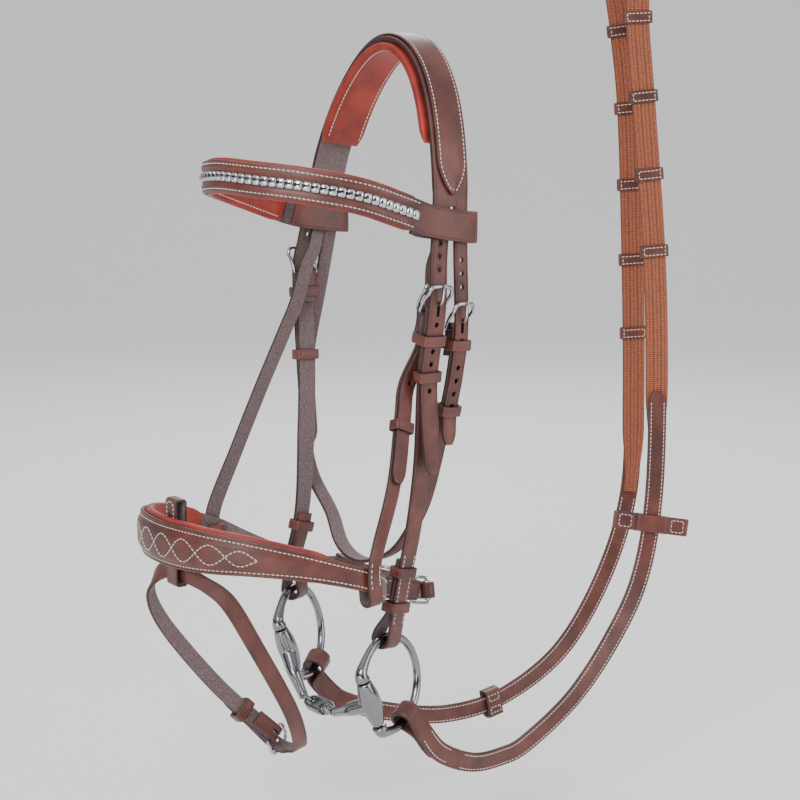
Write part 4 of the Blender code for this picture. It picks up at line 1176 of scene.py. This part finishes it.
def build_noseband_stitching(route):
    """Edge rows all the way along, and plain crossing waves on the padded front."""
    thread = Thread()
    for side in (-1, 1):
        spots, ups = [], []
        for far in np.arange(24.0, route.length - 24.0, 2.0):
            half = noseband_width(far / route.length) / 2 - 3.1
            outward = route.at(far)[3]
            spots.append(route.spot(far, side * half, THICK / 2 + 0.12))
            ups.append(outward)
        thread.path(spots, ups)
    for phase in (-1, 1):
        spots, ups = [], []
        for reach in np.arange(-90.0, 90.5, 1.2):
            far = route.length / 2 + reach
            width = noseband_width(far / route.length)
            size = (width / 2 - 7.6) * ease((118.0 - abs(reach)) / 44.0)
            side = phase * size * math.sin(math.pi * reach / 22.5)
            height = THICK / 2 + lifted(width, noseband_bulge(far, route.length), side) + 0.1
            spots.append(route.spot(far, side, height))
            ups.append(route.at(far)[3])
        thread.path(spots, ups)
    thread.make("noseband_stitching", ROOT)


def build_flash_loop(route):
    """A band behind the noseband: a stitched tab above it, and a loop below it for the flash strap."""
    middle = route.length / 2
    place, along, across, outward = route.at(middle)
    way = 1.0 if across.z < 0 else -1.0
    drop = FLASH_LOOP_DROP * way
    band("flash_loop", ROOT, route, middle, FLASH_LOOP_REAR, FLASH_LOOP_FRONT, FLASH_LOOP_TALL, length=15.0,
         wall=2.0, side=drop)
    front = FLASH_LOOP_FRONT + KEEPER_SLACK + 2.1
    top = drop - way * (FLASH_LOOP_TALL / 2 + 0.5)
    foot = top + way * 13.0
    shoulder = top + way * 2.5
    corners = [(-5.0, foot), (-5.0, shoulder), (-2.5, top), (2.5, top), (5.0, shoulder), (5.0, foot)]
    spots = [place + along * x + across * y + outward * front for x, y in corners]
    thread = Thread()
    thread.path(spots, [outward] * len(corners))
    thread.make("flash_loop_stitching", ROOT)


def hanger_route(side):
    upper = [(74.3, -19.5, -110), (76.2, -21, -121), (78.6, -22.5, -134), (78.2, -23.5, -146)]
    if side > 0:
        middle = [(69.2, -23.5, -163), (67.2, -23, -180), (67, -23, -207), (67, -31, -228),
                  (68.4, -46.5, -252)]
        lower = [(75.5, -55.4, -273), (93, -76, -320), (111.6, -106.5, -368), (113.4, -107, -394)]
    else:
        middle = [(71.5, -32, -160), (69.5, -41, -174), (69.4, -50, -200), (76, -58, -225)]
        lower = [(88, -73, -270), (99, -90, -320), (108.2, -106.5, -368), (109.8, -107, -394)]
    points = upper + middle + lower
    faces = [(1, 0, 0.15), (1, 0, 0.1), (1, 0, 0)] + [(1, 0, 0)] * (len(points) - 5) + [(1, 0.16, 0)] * 2
    return Route(mirrored(points, side), mirrored(faces, side))


def build_hangers():
    """The straps that hold the noseband up: plain on the off side, buckled on the near."""
    radius = THIN_THICK / 2 + GAP + 1.3 + 2.1
    wrap = (radius, 16.0, 2 * radius)
    off = hanger_route(-1)
    rows = folded_rows(off, 0.0, off.length, 0.0, None, wrap)
    piece = strap_rows("off_noseband_hanger", rows, THIN_WIDTH, THIN_THICK)
    leather(piece, ROOT, "off_noseband_hanger")
    near = hanger_route(1)
    top = slider_far(near, "near_hanger_tongue")
    rows = folded_rows(near, top, near.length, UNDER, (FOLD_RADIUS, 22.0, 2 * FOLD_RADIUS), wrap)
    lower = strap_rows("near_noseband_hanger", rows, THIN_WIDTH, THIN_THICK)
    tongue_slots(near, top, None, lower)
    leather(lower, ROOT, "near_noseband_hanger")
    end = near.nearest((92.3, -75, -318))
    billet = strap_rows("near_noseband_billet", near.run(0.0, end), THIN_WIDTH, THIN_THICK, end_tip=True)
    marks = [top + 9.0 + HOLE_PITCH * k for k in (-5, -4, 0, 2, 3, 5)]
    punch(billet, near, [far for far in marks if far < end - 24.0])
    tongue_slots(near, top, billet, None)
    leather(billet, ROOT, "near_noseband_billet")
    buckle("near_hanger", ROOT, "near_hanger_tongue", near, top, THIN_WIDTH)
    band("near_hanger_keeper", ROOT, near, near.nearest((78, -58, -279)), UNDER - 1.3, 1.3, THIN_WIDTH)
    for name, route, out in (("off", off, 0.0), ("near", near, UNDER)):
        thread = Thread()
        sewn_fold(thread, route, route.length - 26.0, route.length - 8.0, THIN_WIDTH, out + 1.4, 2.2)
        thread.make(name + "_hanger_stitching", ROOT)


# --------------------------------------------------- chin strap, flash strap

def chin_route():
    points = [(40.5, 0.4, -421), (26, 5, -425), (8, 9, -427.5), (-6, 9, -427), (-18, 2.8, -424.8),
              (-28.5, -7.5, -422), (-38.9, -17.8, -418), (-45.4, -30.5, -414.6), (-46.3, -36.5, -413)]
    faces = [(0.35, 1, 0), (0.2, 1, 0), (0, 1, 0), (-0.3, 1, 0), (-0.65, 0.75, 0), (-0.7, 0.7, 0),
             (-0.8, 0.6, 0), (-1, 0.25, 0), (-1, 0.2, 0)]
    return Route(points, faces)


def link_corners(first, lift, second, axis):
    """The corners of the steel link, which stands across both straps."""
    half = CHEEK_WIDTH / 2 + 2.2
    corners = []
    for mark, way, other, order in ((first, lift, second, (1, -1)), (second, axis, first, (-1, 1))):
        toward = (other - mark).normalized()
        for sign in order:
            corner = mark + way * (half * sign)
            inner = [corner - way * (1.6 * sign), corner + toward * 1.6]
            corners += inner if sign == order[1] else inner[::-1]
    return corners


def build_chin_roller(middle, axis):
    ends = [middle - axis * (CHEEK_WIDTH / 2), middle + axis * (CHEEK_WIDTH / 2)]
    stops = (0.0, 0.04, 0.1, 0.5, 0.9, 0.96, 1.0)
    sizes = (2.2, 2.65, 2.8, 2.8, 2.8, 2.65, 2.2)
    places = [ends[0].lerp(ends[1], s) for s in stops]
    roller = tube_along("chin_roller", places, sizes, BUCKLE_STEEL, sides=24)
    core = tube_along("roller_core", [ends[0] - axis * 2, ends[1] + axis * 2], [1.6] * 2, BUCKLE_STEEL)
    cut(roller, core)
    settle(roller, "chin_roller", "buckle_steel", "chin_roller")


def build_chin_strap(line):
    """The link with its roller, the strap under the jaw, and its buckle."""
    start, _, across, outward = line.at(0.0)
    first = start - outward * FOLD_RADIUS
    route = chin_route()
    place, _, roller_axis, rear = route.at(0.0)
    radius = 2.8 + 0.6 + 1.3
    second = place - rear * radius
    lift = across if across.z > 0 else -across
    axis = roller_axis if roller_axis.z > 0 else -roller_axis
    corners = link_corners(first, lift, second, axis)
    link = rod("chin_link", corners, [BAR_RADIUS] * len(corners), BUCKLE_STEEL, closed=True, step=1.0)
    settle(link, ROOT, "buckle_steel", "chin_link")
    build_chin_roller(second, axis)
    rows = folded_rows(route, 0.0, route.length, 0.0, (radius, 24.0, 7.6))
    strap = strap_rows("chin_strap", rows, THIN_WIDTH, THIN_THICK, end_tip=True)
    tongue_slots(line, line.length, strap, None, 1.0, CHIN_LIFT)
    leather(strap, ROOT, "chin_strap")
    buckle("chin", ROOT, "chin_tongue", line, line.length, CHEEK_WIDTH - 2.0, CHIN_LIFT, 0.0, 1.0, 15.0)
    band("chin_keeper", ROOT, line, line.length - 26.0, -2 * FOLD_RADIUS - THICK / 2, CHIN_LIFT + 1.6,
         CHEEK_WIDTH)
    thread = Thread()
    sewn_fold(thread, route, 7.0, 24.0, THIN_WIDTH, 1.4, 2.2)
    thread.make("chin_stitching", ROOT)


def flash_route():
    points = [(-12, -117, -527), (-27, -152, -489), (-38, -184, -446), (-41.5, -199, -421), (-41, -204, -404),
              (-33, -203, -391), (-22, -201.3, -384.5), (-13, -200.9, -382.5), (2, -201.3, -382.5),
              (13, -200.7, -383.5), (26, -197, -387), (37, -185, -400), (38, -163, -437), (30, -128, -494),
              (12, -107, -531), (-3, -105, -539), (-12, -113.5, -535.5), (-20.4, -132, -513),
              (-28.6, -150, -492)]
    faces = [(-1, 0, -0.3), (-1, 0, -0.1), (-1, -0.2, 0), (-1, -0.4, 0), (-1, -0.7, 0), (-0.6, -1, 0),
             (-0.25, -1, 0), (-0.03, -1, 0), (-0.03, -1, 0), (0.1, -1, 0), (0.4, -1, -0.1), (1, -0.5, 0),
             (1, -0.1, 0), (1, 0, -0.2), (0.8, 0.3, -1), (0, 0.2, -1), (-1, 0, -0.7), (-1, 0, -0.35),
             (-1, 0, -0.1)]
    return Route(points, faces)


def build_flash():
    route = flash_route()
    rows = folded_rows(route, 0.0, route.length, 0.0, (FOLD_RADIUS, 20.0, 2 * FOLD_RADIUS))
    strap = strap_rows("flash_strap", rows, THIN_WIDTH, THIN_THICK, end_tip=True)
    tongue_slots(route, 0.0, strap, strap, -1.0, CHIN_LIFT)
    leather(strap, "flash", "flash_strap")
    buckle("flash", "flash", "flash_tongue", route, 0.0, THIN_WIDTH + 1.2, CHIN_LIFT, 0.0, -1.0, 15.0)
    band("flash_keeper", "flash", route, 30.0, -1.6, CHIN_LIFT + 2.6, THIN_WIDTH + 0.6, stitched=True)
    thread = Thread()
    for side in (-1, 1):
        thread.line(route, 8.0, 22.0, side * (THIN_WIDTH / 2 - 2.2), 1.4)
    thread.make("flash_stitching", "flash")


# ---------------------------------------------------------------------- bit

def ring_frame(side):
    """The bit ring's own directions: out to its rear, and up along its barrel."""
    lateral = Vector((1.0, 0.0, 0.0)) * side
    rearward = lateral.cross(BARREL_AXIS)
    if rearward.y < 0:
        rearward = -rearward
    rearward = rearward.normalized()
    return rearward * math.cos(RING_YAW[side]) - lateral * math.sin(RING_YAW[side]), BARREL_AXIS.copy()


def build_ring(name, side):
    back, up = ring_frame(side)
    centre = RING_CENTRE[side]
    middle = centre - back * BARREL_SETBACK
    places = [middle + up * height for height in (-PIN_HALF, 0.0, PIN_HALF)]
    radii = [2.2] * 3
    places += [middle + up * (PIN_HALF + 0.5), middle + up * (PIN_HALF + 1.4)]
    places.append(middle + up * (PIN_HALF + 7.0) + back * 1.5)
    radii += [5.0, 5.7, 4.5]
    sweep_angle = 112
    for k in range(15):
        turn = math.radians(sweep_angle - 2 * sweep_angle * k / 14)
        places.append(centre + (back * math.cos(turn) + up * math.sin(turn)) * RING_RADIUS)
        radii.append(RING_WIRE + 0.35 * abs(math.sin(turn)))
    places += [middle - up * (PIN_HALF + 7.0) + back * 1.5, middle - up * (PIN_HALF + 1.4)]
    places.append(middle - up * (PIN_HALF + 0.5))
    radii += [4.5, 5.7, 5.0]
    made = rod(name + "_ring", places, radii, BIT_STEEL, closed=True, sides=28, step=1.2)
    settle(made, name + "_ring", "bit_steel", name + "_ring")


def build_cannon(name, side):
    """Half the mouthpiece: an egg-shaped barrel that flows into the arm and its eye."""
    back, up = ring_frame(side)
    middle = RING_CENTRE[side] - back * BARREL_SETBACK
    outward = Vector((side, 0.0, 0.0))
    heights = (-19.6, -17.0, -12.0, -5.0, 3.0, 10.0, 16.0, 19.6)
    sizes = (4.4, 5.2, 6.6, 7.9, 8.2, 7.6, 6.4, 5.6)
    barrel = rod(name + "_cannon", [middle + up * h for h in heights], sizes, BIT_STEEL, sides=32)
    hole = Vector((LINK_HOLE * side, LOZENGE_CENTRE.y, LOZENGE_CENTRE.z))
    eye_centre = hole + outward * EYE_RADIUS
    root = middle - back * 1.5
    end = eye_centre + outward * (EYE_RADIUS + 1.0)
    bow = (root + end) / 2 + up * 1.0 - back * 2.0
    curve = smooth_points([root, bow + (root - bow) * 0.45, bow, end], 3.0)
    sizes = [6.6 + (4.0 - 6.6) * ease(k / (len(curve) - 1)) for k in range(len(curve))]
    arm = rod(name + "_arm", curve, sizes, BIT_STEEL, sides=28)
    loop = []
    for k in range(24):
        turn = 2 * math.pi * k / 24
        loop.append(eye_centre + (outward * math.cos(turn) + up * math.sin(turn)) * EYE_RADIUS)
    eye = tube_along(name + "_eye", loop, [1.5] * 24, BIT_STEEL, closed=True, sides=16)
    cut(barrel, arm, "UNION")
    cut(barrel, eye, "UNION")
    blend_cannon(barrel)
    ends = [middle - up * 30.0, middle + up * 30.0]
    bore = tube_along(name + "_bore", ends, [2.55] * 2, BIT_STEEL, sides=20)
    cut(barrel, bore)
    settle(barrel, name + "_cannon", "bit_steel", name + "_cannon")


def blend_cannon(barrel):
    """Rounds the corners where the barrel, the arm and the eye meet."""
    blend = barrel.modifiers.new("blend", "REMESH")
    blend.mode = "VOXEL"
    blend.voxel_size = 0.00055
    soft = barrel.modifiers.new("soft", "CORRECTIVE_SMOOTH")
    soft.factor = 0.7
    soft.iterations = 14
    soft.use_only_smooth = True
    baked(barrel, 60.0)
    barrel.data.materials.clear()
    barrel.data.materials.append(BIT_STEEL)


def build_lozenge():
    """The flat middle link, with a window at either end for the eyes."""
    flat = Vector((1, 0, 0)).cross(BARREL_AXIS).normalized()
    across = Vector((1, 0, 0))
    outline = []
    for k in range(48):
        turn = 2 * math.pi * k / 48
        c, s = math.cos(turn), math.sin(turn)
        x = math.copysign(abs(c) ** 0.62, c) * LINK_HALF
        y = math.copysign(abs(s) ** 0.8, s) * 7.2
        outline.append(LOZENGE_CENTRE + across * x + flat * y)
    points = [(p + BARREL_AXIS * (level * 2.2)) * MM for level in (-1, 1) for p in outline]
    faces = [(j, (j + 1) % 48, 48 + (j + 1) % 48, 48 + j) for j in range(48)]
    faces += [tuple(range(48)), tuple(range(48, 96))]
    link = mesh_object("lozenge", points, faces, [0] * 50, (BIT_STEEL,))
    for side in (-1, 1):
        middle = LOZENGE_CENTRE + across * (LINK_HOLE * side)
        ends = [middle - BARREL_AXIS * 6, middle + BARREL_AXIS * 6]
        cut(link, tube_along("window", ends, [LINK_HOLE_RADIUS] * 2, BIT_STEEL, sides=28))
    rim = link.modifiers.new("rim", "BEVEL")
    rim.width = 0.0008
    rim.segments = 4
    rim.limit_method = "ANGLE"
    rim.angle_limit = math.radians(50)
    baked(link, 60.0)
    settle(link, "lozenge", "bit_steel", "lozenge")


# --------------------------------------------------------------------- reins

def near_rein_route():
    points = [(61.2, -33.8, -511), (62.6, -25, -526), (62, -8, -546), (57, 28, -564), (53.5, 62, -568),
              (51, 92, -564), (46, 150, -538), (43, 198, -496), (40, 232, -450), (37, 250, -385),
              (33, 256, -290), (28, 255, -180), (24, 243, -55), (20.5, 236, 20), (20, 236, 51),
              (20, 233, 80), (18, 229, 108)]
    faces = [(0.95, 0.19, 0.24), (1, 0.1, 0.2), (1, -0.1, 0.1)]
    faces += [(0.9, -0.35, 0)] * 4 + [(0.8, -0.5, 0)] * 10
    return Route(points, faces)


def off_rein_route():
    points = [(-70, -42.3, -501), (-70.2, -33, -517), (-66, -10, -538), (-55, 35, -555), (-47, 90, -566),
              (-41, 150, -560), (-34, 212, -527), (-28, 258, -463), (-22, 280, -390), (-15, 275, -300),
              (-9, 264, -180), (-5, 251, -50), (-4, 239, 18), (-6, 235, 49), (-5, 238, 78), (-3, 243, 106)]
    faces = [(-0.87, -0.41, -0.27), (-1, -0.1, -0.1), (-1, 0.1, 0)]
    faces += [(-0.9, 0.35, 0)] * 3 + [(-0.8, 0.5, 0)] * 10
    return Route(points, faces)


def build_rein(name, route, leather_top, web_top, first_stop, stops):
    join = route.nearest(leather_top)
    wrap = RING_WIRE + REIN_LOOP_SLACK + THICK / 2
    rows = folded_rows(route, 0.0, join, 0.0, (wrap, 40.0, THICK + GAP + 1.2))
    piece = strap_rows(name + "_rein_leather", rows, REIN_WIDTH, end_tip=True, materials=(GRAIN, GRAIN, EDGE))
    leather(piece, "reins", name + "_rein_leather")
    thread = Thread()
    for side in (-1, 1):
        thread.line(route, 20.0, 52.0, side * 5.2, THICK / 2 + 0.05)
        thread.line(route, 70.0, join - 9.0, side * 5.6, THICK / 2 + 0.05)
        thread.line(route, 70.0, join - 66.0, side * 5.6, -THICK / 2 - 0.05)
    thread.make(name + "_rein_stitching", "reins")
    end = route.nearest(web_top)
    build_webbing(name, route, join - 60.0, end)
    for k in range(stops):
        build_hand_stop(f"{name}_hand_stop_{k + 1}", route, end - first_stop - STOP_SPACING * k)


def build_webbing(name, route, start, end):
    """Ribbed webbing: a raised rib every 1.8 mm across it and six columns along it, with painted shade in the
    grooves.
    """
    rows = route.run(start, end, 0.6, out=-(THICK / 2 + GAP + 1.2))
    loops = []
    for rise, sunk in ((0.0, True), (0.34, False), (0.4, False)):
        loop = section(WEB_WIDTH - 0.3 * sunk, 1.95 + rise, top=PLAIN, columns=WEB_COLUMNS)
        # The sunk rows and the points between columns take the darker copy: painted shade in the grooves.
        loops.append([(x, y, int(sunk or web_groove(x))) for x, y, _ in loop])
    sections = []
    for k, far in enumerate(row_lengths(rows)):
        narrow = 0.55 + 0.45 * ease(far / 62.0)
        sections.append([(x * narrow, y, kind) for x, y, kind in loops[(0, 2, 1)[k % 3]]])
    made = sweep(name + "_rein_webbing", rows, sections, (WEB, WEB_SHADE))
    settle(made, "reins", "webbing", name + "_rein_webbing")


def web_groove(x):
    """Whether a point across the webbing lies in the groove between two columns, where shade is painted."""
    return math.cos(2 * math.pi * WEB_COLUMNS * (x / WEB_WIDTH + 0.5)) > 0.55


def build_hand_stop(name, route, far):
    """A leather tab sewn round the webbing for the hand to hold against."""
    low = -(THICK / 2 + GAP + 2.4)
    high = -(THICK / 2 + GAP)
    place, along, across, outward = route.at(far)
    bend = 1.2
    top, bottom = high + bend, low - bend
    rows = round_rows(route.at(far), (0.0, (top + bottom) / 2), 11.6, (top - bottom) / 2, bend, 18)
    loop = section(10.2, 1.5)
    tab = sweep(name, rows, [loop] * len(rows), LEATHER, closed=True)
    leather(tab, "reins")
    thread = Thread()
    for face, way in ((top + 0.75, 1), (bottom - 0.75, -1)):
        corners = [(-9.2, -3.1), (9.2, -3.1), (9.2, 3.1), (-9.2, 3.1)]
        spots = [place + across * x + along * y + outward * face for x, y in corners]
        thread.path(spots, [outward * way] * 4, closed=True)
    thread.make(name + "_stitching", "reins")


def build_martingale_stop(name, route, far, low, high, width):
    """A leather band round the rein, its two faces sewn together beyond the strap."""
    wall, length, room = 2.6, 15.0, 12.4
    place, along, across, outward = route.at(far)
    middle = (low + high) / 2
    open_gap = (high - low) / 2 + KEEPER_SLACK + wall / 2 + 0.7
    half = width / 2 + KEEPER_SLACK + wall / 2
    shut_gap = open_gap if width < 2 * room else wall / 2 + 0.05
    rows = []
    for face in (1, -1):
        for k in range(33):
            x = face * half * (2 * k / 32 - 1)
            gap = shut_gap + (open_gap - shut_gap) * (1.0 - ease((abs(x) - room) / 4.0))
            gap *= math.sqrt(max(1.0 - max(abs(x) - half + 1.6, 0.0) ** 2 / 2.6, 0.0))
            rows.append((place + across * x + outward * (middle + face * gap), along, outward * face))
    title = name + "_martingale_stop"
    made = sweep(title, rows, [section(length, wall)] * len(rows), LEATHER, closed=True)
    leather(made, title, title)
    thread = Thread()
    for side in (-1, 1):
        if width > 2 * room:
            corners = [(18.0, -5.0), (28.5, -5.0), (28.5, 5.0), (18.0, 5.0)]
        else:
            corners = [(3.0, -5.0), (8.0, -5.0), (8.0, 5.0), (3.0, 5.0)]
        for face in (-1, 1):
            height = middle + face * (shut_gap + wall / 2 + 0.05)
            spots = [place + across * (side * x) + along * y + outward * height for x, y in corners]
            thread.path(spots, [outward * face] * 4, closed=True)
    thread.make(title + "_stitching", title)


def build_reins():
    near, off = near_rein_route(), off_rein_route()
    build_rein("near", near, (33, 256, -290), (20, 233, 80), 54.0, 4)
    build_rein("off", off, (-17, 277, -330), (-4, 240.5, 92), 75.0, 5)
    for name, route, low, width in (("near", near, -(THICK / 2 + GAP + 2.4), NEAR_STOP_WIDTH),
                                    ("off", off, -THICK / 2, OFF_STOP_WIDTH)):
        slider = slider_far(route, name + "_martingale_stop_slide")
        build_martingale_stop(name, route, slider, low, THICK / 2, width)
    build_rein_end(near)


def build_rein_end(near):
    """The buckle that joins the two reins at the rider's hand."""
    heel = near.length - 4.0
    start = near.nearest((20, 236, 51))
    rows = folded_rows(near, start, heel, 0.0, None, (FOLD_RADIUS, 18.0, 2 * FOLD_RADIUS))
    folded = strap_rows("near_rein_end", rows, CHEEK_WIDTH)
    tongue_slots(near, heel, None, folded, 1.0, CHIN_LIFT)
    leather(folded, "reins", "near_rein_end")
    points = [(-6, 235, 51), (-5, 238, 80), (-3, 243, 106), (1, 241, 124), (10, 234.5, 133),
              (18.6, 228.6, 123), (21, 227, 106), (22.9, 230.2, 84), (23.2, 231, 74)]
    faces = [(-0.8, 0.5, 0), (-0.8, 0.5, 0), (-0.8, 0.55, 0), (-0.8, 0.55, 0.7), (0, 0, 1), (0.8, -0.55, 0.6),
             (0.8, -0.5, 0), (0.8, -0.5, 0), (0.8, -0.5, 0)]
    over = Route(points, faces)
    billet = strap_rows("off_rein_end", over.run(0.0, over.length), CHEEK_WIDTH, end_tip=True)
    tongue_slots(near, heel, billet, None, 1.0, CHIN_LIFT)
    leather(billet, "reins", "off_rein_end")
    buckle("rein", "reins", "rein_tongue", near, heel, CHEEK_WIDTH + 1.0, CHIN_LIFT, 0.0, 1.0, 15.0)
    band("rein_end_keeper", "reins", near, heel - 14.0, -2 * FOLD_RADIUS - THICK / 2, CHIN_LIFT + 2.4,
         CHEEK_WIDTH + 1.0)


# --------------------------------------------------------- floor, light, camera

def build_stage():
    """A pale floor that curves up into a wall well behind the bridle."""
    made, _, shader = shader_material("floor")
    shader.inputs["Base Color"].default_value = (0.86, 0.86, 0.85, 1.0)
    shader.inputs["Roughness"].default_value = 0.85
    turns = [math.pi / 2 * k / 12 for k in range(13)]
    curve = [(WALL_START + WALL_BEND * math.sin(turn), WALL_BEND - WALL_BEND * math.cos(turn))
             for turn in turns]
    line = [(-FLOOR_REACH, 0.0)] + curve + [(WALL_START + WALL_BEND, WALL_HEIGHT)]
    forward = Vector((-0.7878, 0.6157, 0.0))
    right = Vector((0.6157, 0.7880, 0.0))
    floor = CAD_BOX[0][2] - 0.06
    points, faces = [], []
    for reach, height in line:
        for side in (-FLOOR_REACH, FLOOR_REACH):
            spot = forward * reach + right * side
            points.append((spot.x, spot.y, floor + height))
    for k in range(len(line) - 1):
        faces.append((2 * k, 2 * k + 1, 2 * k + 3, 2 * k + 2))
    mesh = bpy.data.meshes.new("floor")
    mesh.from_pydata(points, [], faces)
    mesh.polygons.foreach_set("use_smooth", [True] * len(faces))
    mesh.materials.append(made)
    place_object("floor", mesh)


def area_light(name, place, aim, size, power):
    data = bpy.data.lights.new(name, "AREA")
    data.shape = "RECTANGLE"
    data.size, data.size_y = size
    data.energy = power
    made = place_object(name, data)
    made.location = place
    made.rotation_euler = (Vector(aim) - Vector(place)).to_track_quat("-Z", "Y").to_euler()


def build_lights():
    """Four soft lights, and a sky with a dark horizon that gives polished steel its form."""
    world = bpy.data.worlds.new("studio")
    world.use_nodes = True
    tree = world.node_tree
    height = tree.nodes.new("ShaderNodeSeparateXYZ")
    tree.links.new(tree.nodes.new("ShaderNodeTexCoord").outputs["Generated"], height.inputs["Vector"])
    part = tree.nodes.new("ShaderNodeMapRange")
    part.inputs["From Min"].default_value = -1.0
    tree.links.new(height.outputs["Z"], part.inputs["Value"])
    band = ((0.0, (0.5, 0.5, 0.5)), (0.44, (0.45, 0.45, 0.45)), (0.5, (0.03, 0.03, 0.035)),
            (0.6, (0.12, 0.12, 0.13)), (0.7, (1.1, 1.1, 1.15)), (1.0, (1.5, 1.5, 1.6)))
    background = tree.nodes["Background"]
    tree.links.new(ramp(tree, part.outputs["Result"], band), background.inputs["Color"])
    background.inputs["Strength"].default_value = 0.75
    bpy.context.scene.world = world
    middle = (0.0, 0.03, -0.23)
    area_light("key", (1.1, -1.7, 1.1), middle, (1.2, 1.2), 42.0)
    area_light("fill", (2.0, 1.0, 0.3), middle, (1.4, 1.4), 22.0)
    area_light("rim", (-1.5, 1.2, 1.3), middle, (0.9, 1.6), 26.0)
    area_light("low", (0.7, -1.3, -0.5), middle, (1.0, 0.5), 6.0)


def build_camera():
    data = bpy.data.cameras.new("camera")
    data.lens = CAMERA_LENS
    data.sensor_width = 36.0
    made = place_object("camera", data)
    right, up = Vector(CAMERA_RIGHT).normalized(), Vector(CAMERA_UP).normalized()
    turn = Matrix((right, up, right.cross(up))).transposed().to_4x4()
    made.matrix_world = Matrix.Translation(CAMERA_AT) @ turn
    bpy.context.scene.camera = made


def main():
    build_camera()
    build_headpiece()
    build_browband()
    build_cheek("near", 1)
    build_cheek("off", -1)
    build_throatlatch()
    line = build_noseband()
    build_flash_loop(line)
    build_hangers()
    build_chin_strap(line)
    build_flash()
    for name, side in (("near", 1), ("off", -1)):
        build_ring(name, side)
        build_cannon(name, side)
    build_lozenge()
    build_reins()
    build_stage()
    build_lights()


main()
